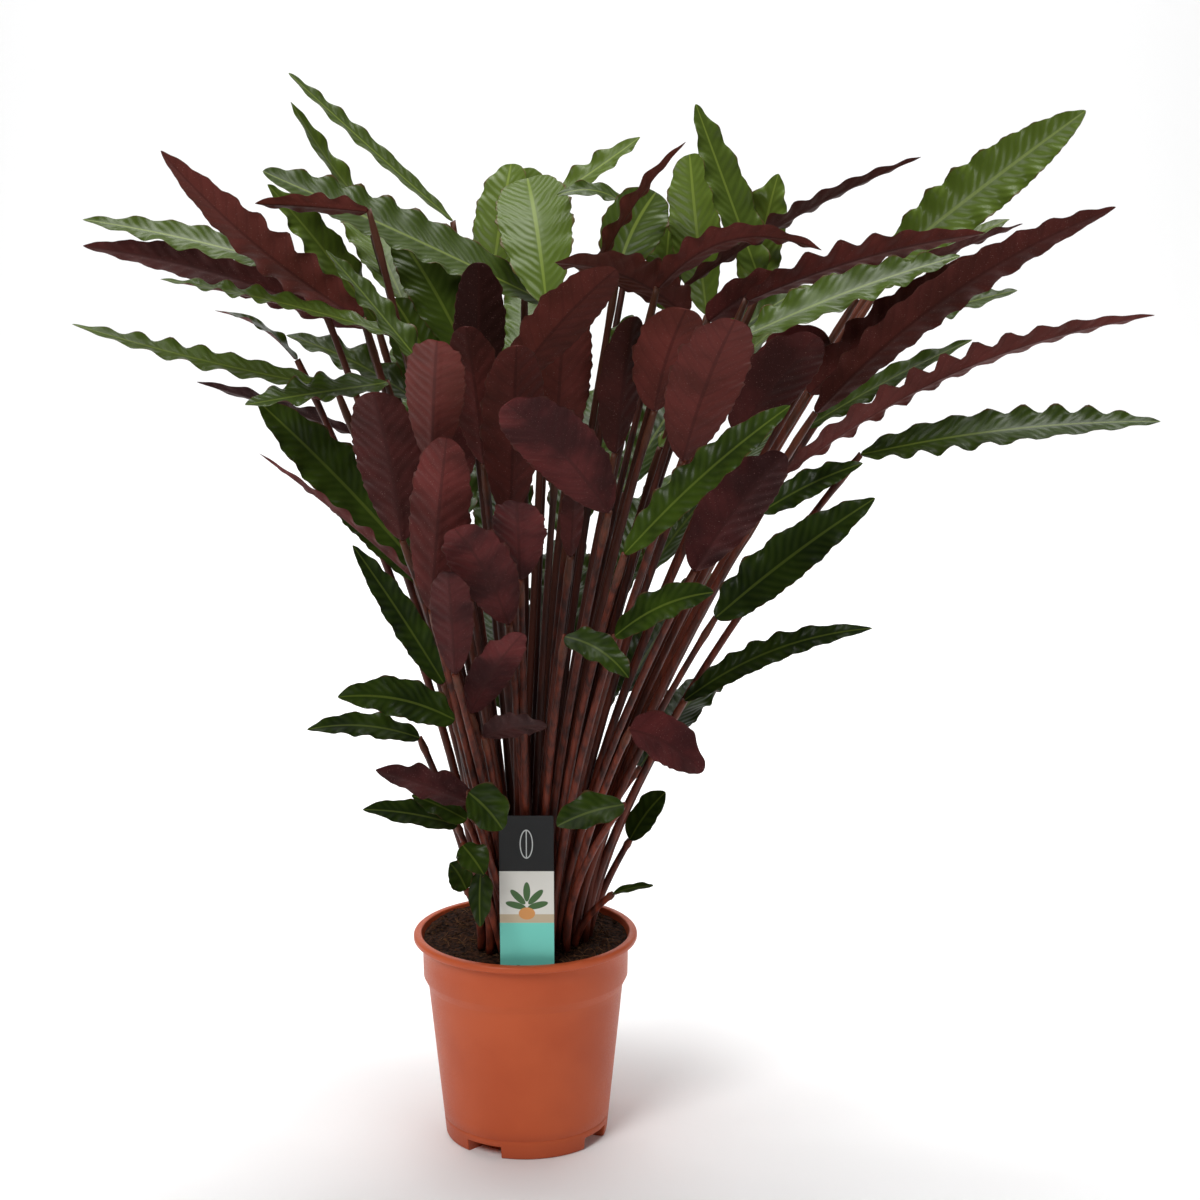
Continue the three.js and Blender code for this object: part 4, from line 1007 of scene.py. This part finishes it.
def peat_material():
    """Dark brown peat; the speck value lightens crumbs and turns fibres straw-coloured."""
    material, tree, shader = new_material("peat", Roughness=0.95, Specular_IOR_Level=0.1)
    lumps = noise(tree, places(tree), 260.0, 5.0)
    colour = mix(tree, step(tree, lumps, 0.35, 0.7), rgb(24, 14, 10), rgb(66, 41, 28))
    colour = mix(tree, attribute(tree, "speck"), colour, rgb(118, 84, 56))
    link(tree, colour, shader.inputs["Base Color"])
    bump(tree, shader, 0.9, 0.002, lumps)
    return material


rng_soil = np.random.default_rng(5)
disc = soil_surface()
crumb_points, crumb_faces = crumbs(rng_soil)
fibre_points, fibre_faces = fibres(rng_soil)
disc_count, crumb_count = disc.shape[0] * disc.shape[1], len(crumb_points)
soil_faces = (ring_faces(*disc.shape[:2]).tolist() + (crumb_faces + disc_count).tolist()
              + (fibre_faces + disc_count + crumb_count).tolist())
crumb_speck = np.repeat(rng_soil.uniform(0, 0.35, CRUMBS), 6)
speck = np.concatenate([np.zeros(disc_count), crumb_speck, np.full(len(fibre_points), 0.8)])
soil_points = np.vstack([disc.reshape(-1, 3), crumb_points, fibre_points])
soil = make_piece("soil_fine", soil_points, soil_faces, [peat_material()], {"speck": speck}, smooth=False)
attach(soil, "root")
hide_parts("soil")
print("soil points:", len(soil_points))

# %% [markdown]
# ## The care tag
#
# A thin card on a point, drawn as an outline of points that is filled and given a thickness. Its
# print is a plain design of its own: a dark band with a leaf outline, a pale picture band with simple
# shapes, and a mint band.

# %% Care tag
TAG_WIDTH, TAG_TOP, TAG_SHOULDER, TAG_POINT_WIDTH, TAG_THICK = 49.0, 339.0, 176.0, 14.0, 0.8
TAG_CORNER = 2.0
DARK_LOW, PICTURE_LOW, EMBLEM_HEIGHT = 285.0, 235.0, 311.0


def tag_outline():
    """Outline of the card in its own plane: point below, straight sides, rounded upper corners."""
    half, point_half = TAG_WIDTH / 2, TAG_POINT_WIDTH / 2
    bend = np.linspace(0, np.pi / 2, 7)
    corner = TAG_CORNER * np.stack([np.cos(bend), np.sin(bend)], -1)
    right = corner + [half - TAG_CORNER, TAG_TOP - TAG_CORNER]
    left = right[::-1] * [-1, 1]
    neck = TAG_SHOULDER - 12
    low = [[-half, neck], [-point_half, TAG_POINT], [point_half, TAG_POINT], [half, neck]]
    return np.vstack([right, left, low])


def tag_points():
    """Front and back outlines, leant back about the card's point and set at its place."""
    outline = tag_outline()
    up_card = outline[:, 1] - TAG_POINT
    outlines = []
    for depth in (-TAG_THICK / 2, TAG_THICK / 2):
        y = depth * math.cos(TAG_LEAN) - up_card * math.sin(TAG_LEAN)
        z = up_card * math.cos(TAG_LEAN) + depth * math.sin(TAG_LEAN)
        outlines.append(np.stack([TAG_X + outline[:, 0], TAG_FOOT_Y + y, TAG_POINT + z], -1))
    return np.vstack(outlines), len(outline)


def ellipse_mask(tree, x, z, centre_x, centre_z, wide, high, tilt=0.0):
    """1 inside an ellipse drawn on the card, softly edged."""
    cos_t, sin_t = math.cos(tilt), math.sin(tilt)
    dx, dz = maths(tree, "SUBTRACT", x, centre_x), maths(tree, "SUBTRACT", z, centre_z)
    across = maths(tree, "ADD", times(tree, dx, cos_t), times(tree, dz, sin_t))
    upward = maths(tree, "SUBTRACT", times(tree, dz, cos_t), times(tree, dx, sin_t))
    first = maths(tree, "POWER", maths(tree, "DIVIDE", across, wide), 2.0)
    second = maths(tree, "POWER", maths(tree, "DIVIDE", upward, high), 2.0)
    return opposite(tree, step(tree, maths(tree, "ADD", first, second), 0.9, 1.05))


def tag_material():
    """Printed card: mint, then a pale band with a small drawn plant, then charcoal with a leaf outline."""
    material, tree, shader = new_material("tag_print", Roughness=0.38, Specular_IOR_Level=0.3)
    split = add(tree, "ShaderNodeSeparateXYZ", {0: places(tree)})
    x, z = times(tree, split.outputs["X"], 1000.0), times(tree, split.outputs["Z"], 1000.0)
    over = step(tree, z, PICTURE_LOW - 0.2, PICTURE_LOW + 0.2)
    colour = mix(tree, over, rgb(120, 214, 198), rgb(226, 224, 216))
    table = opposite(tree, step(tree, z, PICTURE_LOW + 8, PICTURE_LOW + 8.5))
    colour = layered(tree, colour, (table, over, rgb(196, 178, 150)))
    for tilt, dx, dz in ((0.0, 0, 30), (0.75, 8, 25), (-0.75, -8, 25), (1.3, 10, 17), (-1.3, -10, 17)):
        blade = ellipse_mask(tree, x, z, TAG_X + dx, PICTURE_LOW + dz, 3.2, 9.5, -tilt)
        colour = mix(tree, blade, colour, rgb(70, 104, 60))
    bowl = ellipse_mask(tree, x, z, TAG_X, PICTURE_LOW + 9, 7.5, 6.0)
    colour = mix(tree, bowl, colour, rgb(214, 150, 88))
    colour = mix(tree, step(tree, z, DARK_LOW - 0.2, DARK_LOW + 0.2), colour, rgb(19, 20, 21))
    ring = ellipse_mask(tree, x, z, TAG_X, EMBLEM_HEIGHT, 6.0, 14.0)
    hole = ellipse_mask(tree, x, z, TAG_X, EMBLEM_HEIGHT, 5.1, 13.0)
    line = maths(tree, "SUBTRACT", ring, hole, clamp=True)
    from_middle = maths(tree, "ABSOLUTE", maths(tree, "SUBTRACT", x, TAG_X))
    middle_line = opposite(tree, step(tree, from_middle, 0.3, 0.6))
    line = maths(tree, "MAXIMUM", line, times(tree, middle_line, hole))
    colour = layered(tree, colour, (line, 0.9, rgb(226, 230, 228)))
    link(tree, colour, shader.inputs["Base Color"])
    return material


card_points, outline_count = tag_points()
card_faces = [list(range(outline_count)), list(range(2 * outline_count - 1, outline_count - 1, -1))]
after = [(n + 1) % outline_count for n in range(outline_count)]
card_faces += [[m, n, n + outline_count, m + outline_count] for n, m in enumerate(after)]
tag = make_piece("care_tag_fine", card_points, card_faces, [tag_material()], smooth=False)
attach(tag, "root")
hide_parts("care_tag")
print("card points:", len(card_points))

# %% [markdown]
# ## Studio
#
# A pale floor runs into a pale backdrop, which has a light of its own. A large light at the front
# left, a weak one at the right and one overhead model the leaves, and a dim even surround keeps the
# shadows soft.

# %% Studio
SHEET_REACH, SHEET_HIGH = 9000, 7000
SHEET_FLAT, SHEET_BEND = 4800, 2500


def backdrop():
    """A sheet that lies flat under the plant and curves up behind it, as a grid swept across."""
    bend = np.linspace(0, np.pi / 2, 30)[1:, None]
    curve = np.array([SHEET_FLAT, 0]) + SHEET_BEND * np.hstack([np.sin(bend), 1 - np.cos(bend)])
    top = (SHEET_FLAT + SHEET_BEND, SHEET_HIGH)
    profile = np.vstack([[(-SHEET_REACH, 0), (SHEET_FLAT, 0)], curve, [top]])
    x = np.array([-SHEET_REACH, SHEET_REACH], float)
    points = np.stack([np.repeat(x[None], len(profile), 0), np.repeat(profile[:, :1], 2, 1),
                       np.repeat(profile[:, 1:], 2, 1)], -1)
    return points.reshape(-1, 3), grid_faces(len(profile), 2)[:, ::-1]


sheet_points, sheet_faces = backdrop()
paint = {"Base_Color": (0.96, 0.96, 0.96, 1), "Roughness": 0.9, "Specular_IOR_Level": 0.2}
floor = make_piece("floor", sheet_points, sheet_faces.tolist(), [new_material("studio_white", **paint)[0]])


def soft_light(name, place, aim, size, power):
    """Square area light at a place in metres, turned to a point."""
    data = bpy.data.lights.new(name, "AREA")
    data.size = size
    data.energy = power
    lamp = bpy.data.objects.new(name, data)
    lamp.location = place
    towards = np.array(aim) - np.array(place)
    lamp.rotation_mode = "QUATERNION"
    lamp.rotation_quaternion = Vector(towards).to_track_quat("-Z", "Y")
    bpy.context.scene.collection.objects.link(lamp)


soft_light("key", (-1.3, -2.5, 2.7), (0, 0, 0.5), 1.3, 62)
soft_light("fill", (2.2, -2.2, 1.6), (0, 0, 0.5), 1.3, 10)
soft_light("top", (0.1, 0.2, 2.8), (0, 0, 0.7), 1.2, 30)
soft_light("backdrop_light", (0, 1.9, 4.4), (0, 6.0, 0.6), 4.2, 330)
world = bpy.data.worlds.new("surround")
world.use_nodes = True
world.node_tree.nodes["Background"].inputs[0].default_value = (1, 1, 1, 1)
world.node_tree.nodes["Background"].inputs[1].default_value = 0.1
bpy.context.scene.world = world
bpy.context.scene.view_settings.view_transform = "Standard"

# %% [markdown]
# ## Camera
#
# The eye stands 2.33 m in front at a height of 1 m and looks down by 11.8 degrees through a 78 mm
# lens.

# %% Camera and finish
CAMERA_TILT, LENS, SENSOR = 11.77, 78, 36
camera_data = bpy.data.cameras.new("camera")
camera_data.sensor_width = SENSOR
camera_data.lens = LENS
camera = bpy.data.objects.new("camera", camera_data)
camera.location = (EYE * MM).tolist()
camera.rotation_euler = (math.radians(90 - CAMERA_TILT), 0, 0)
bpy.context.scene.collection.objects.link(camera)
bpy.context.scene.camera = camera
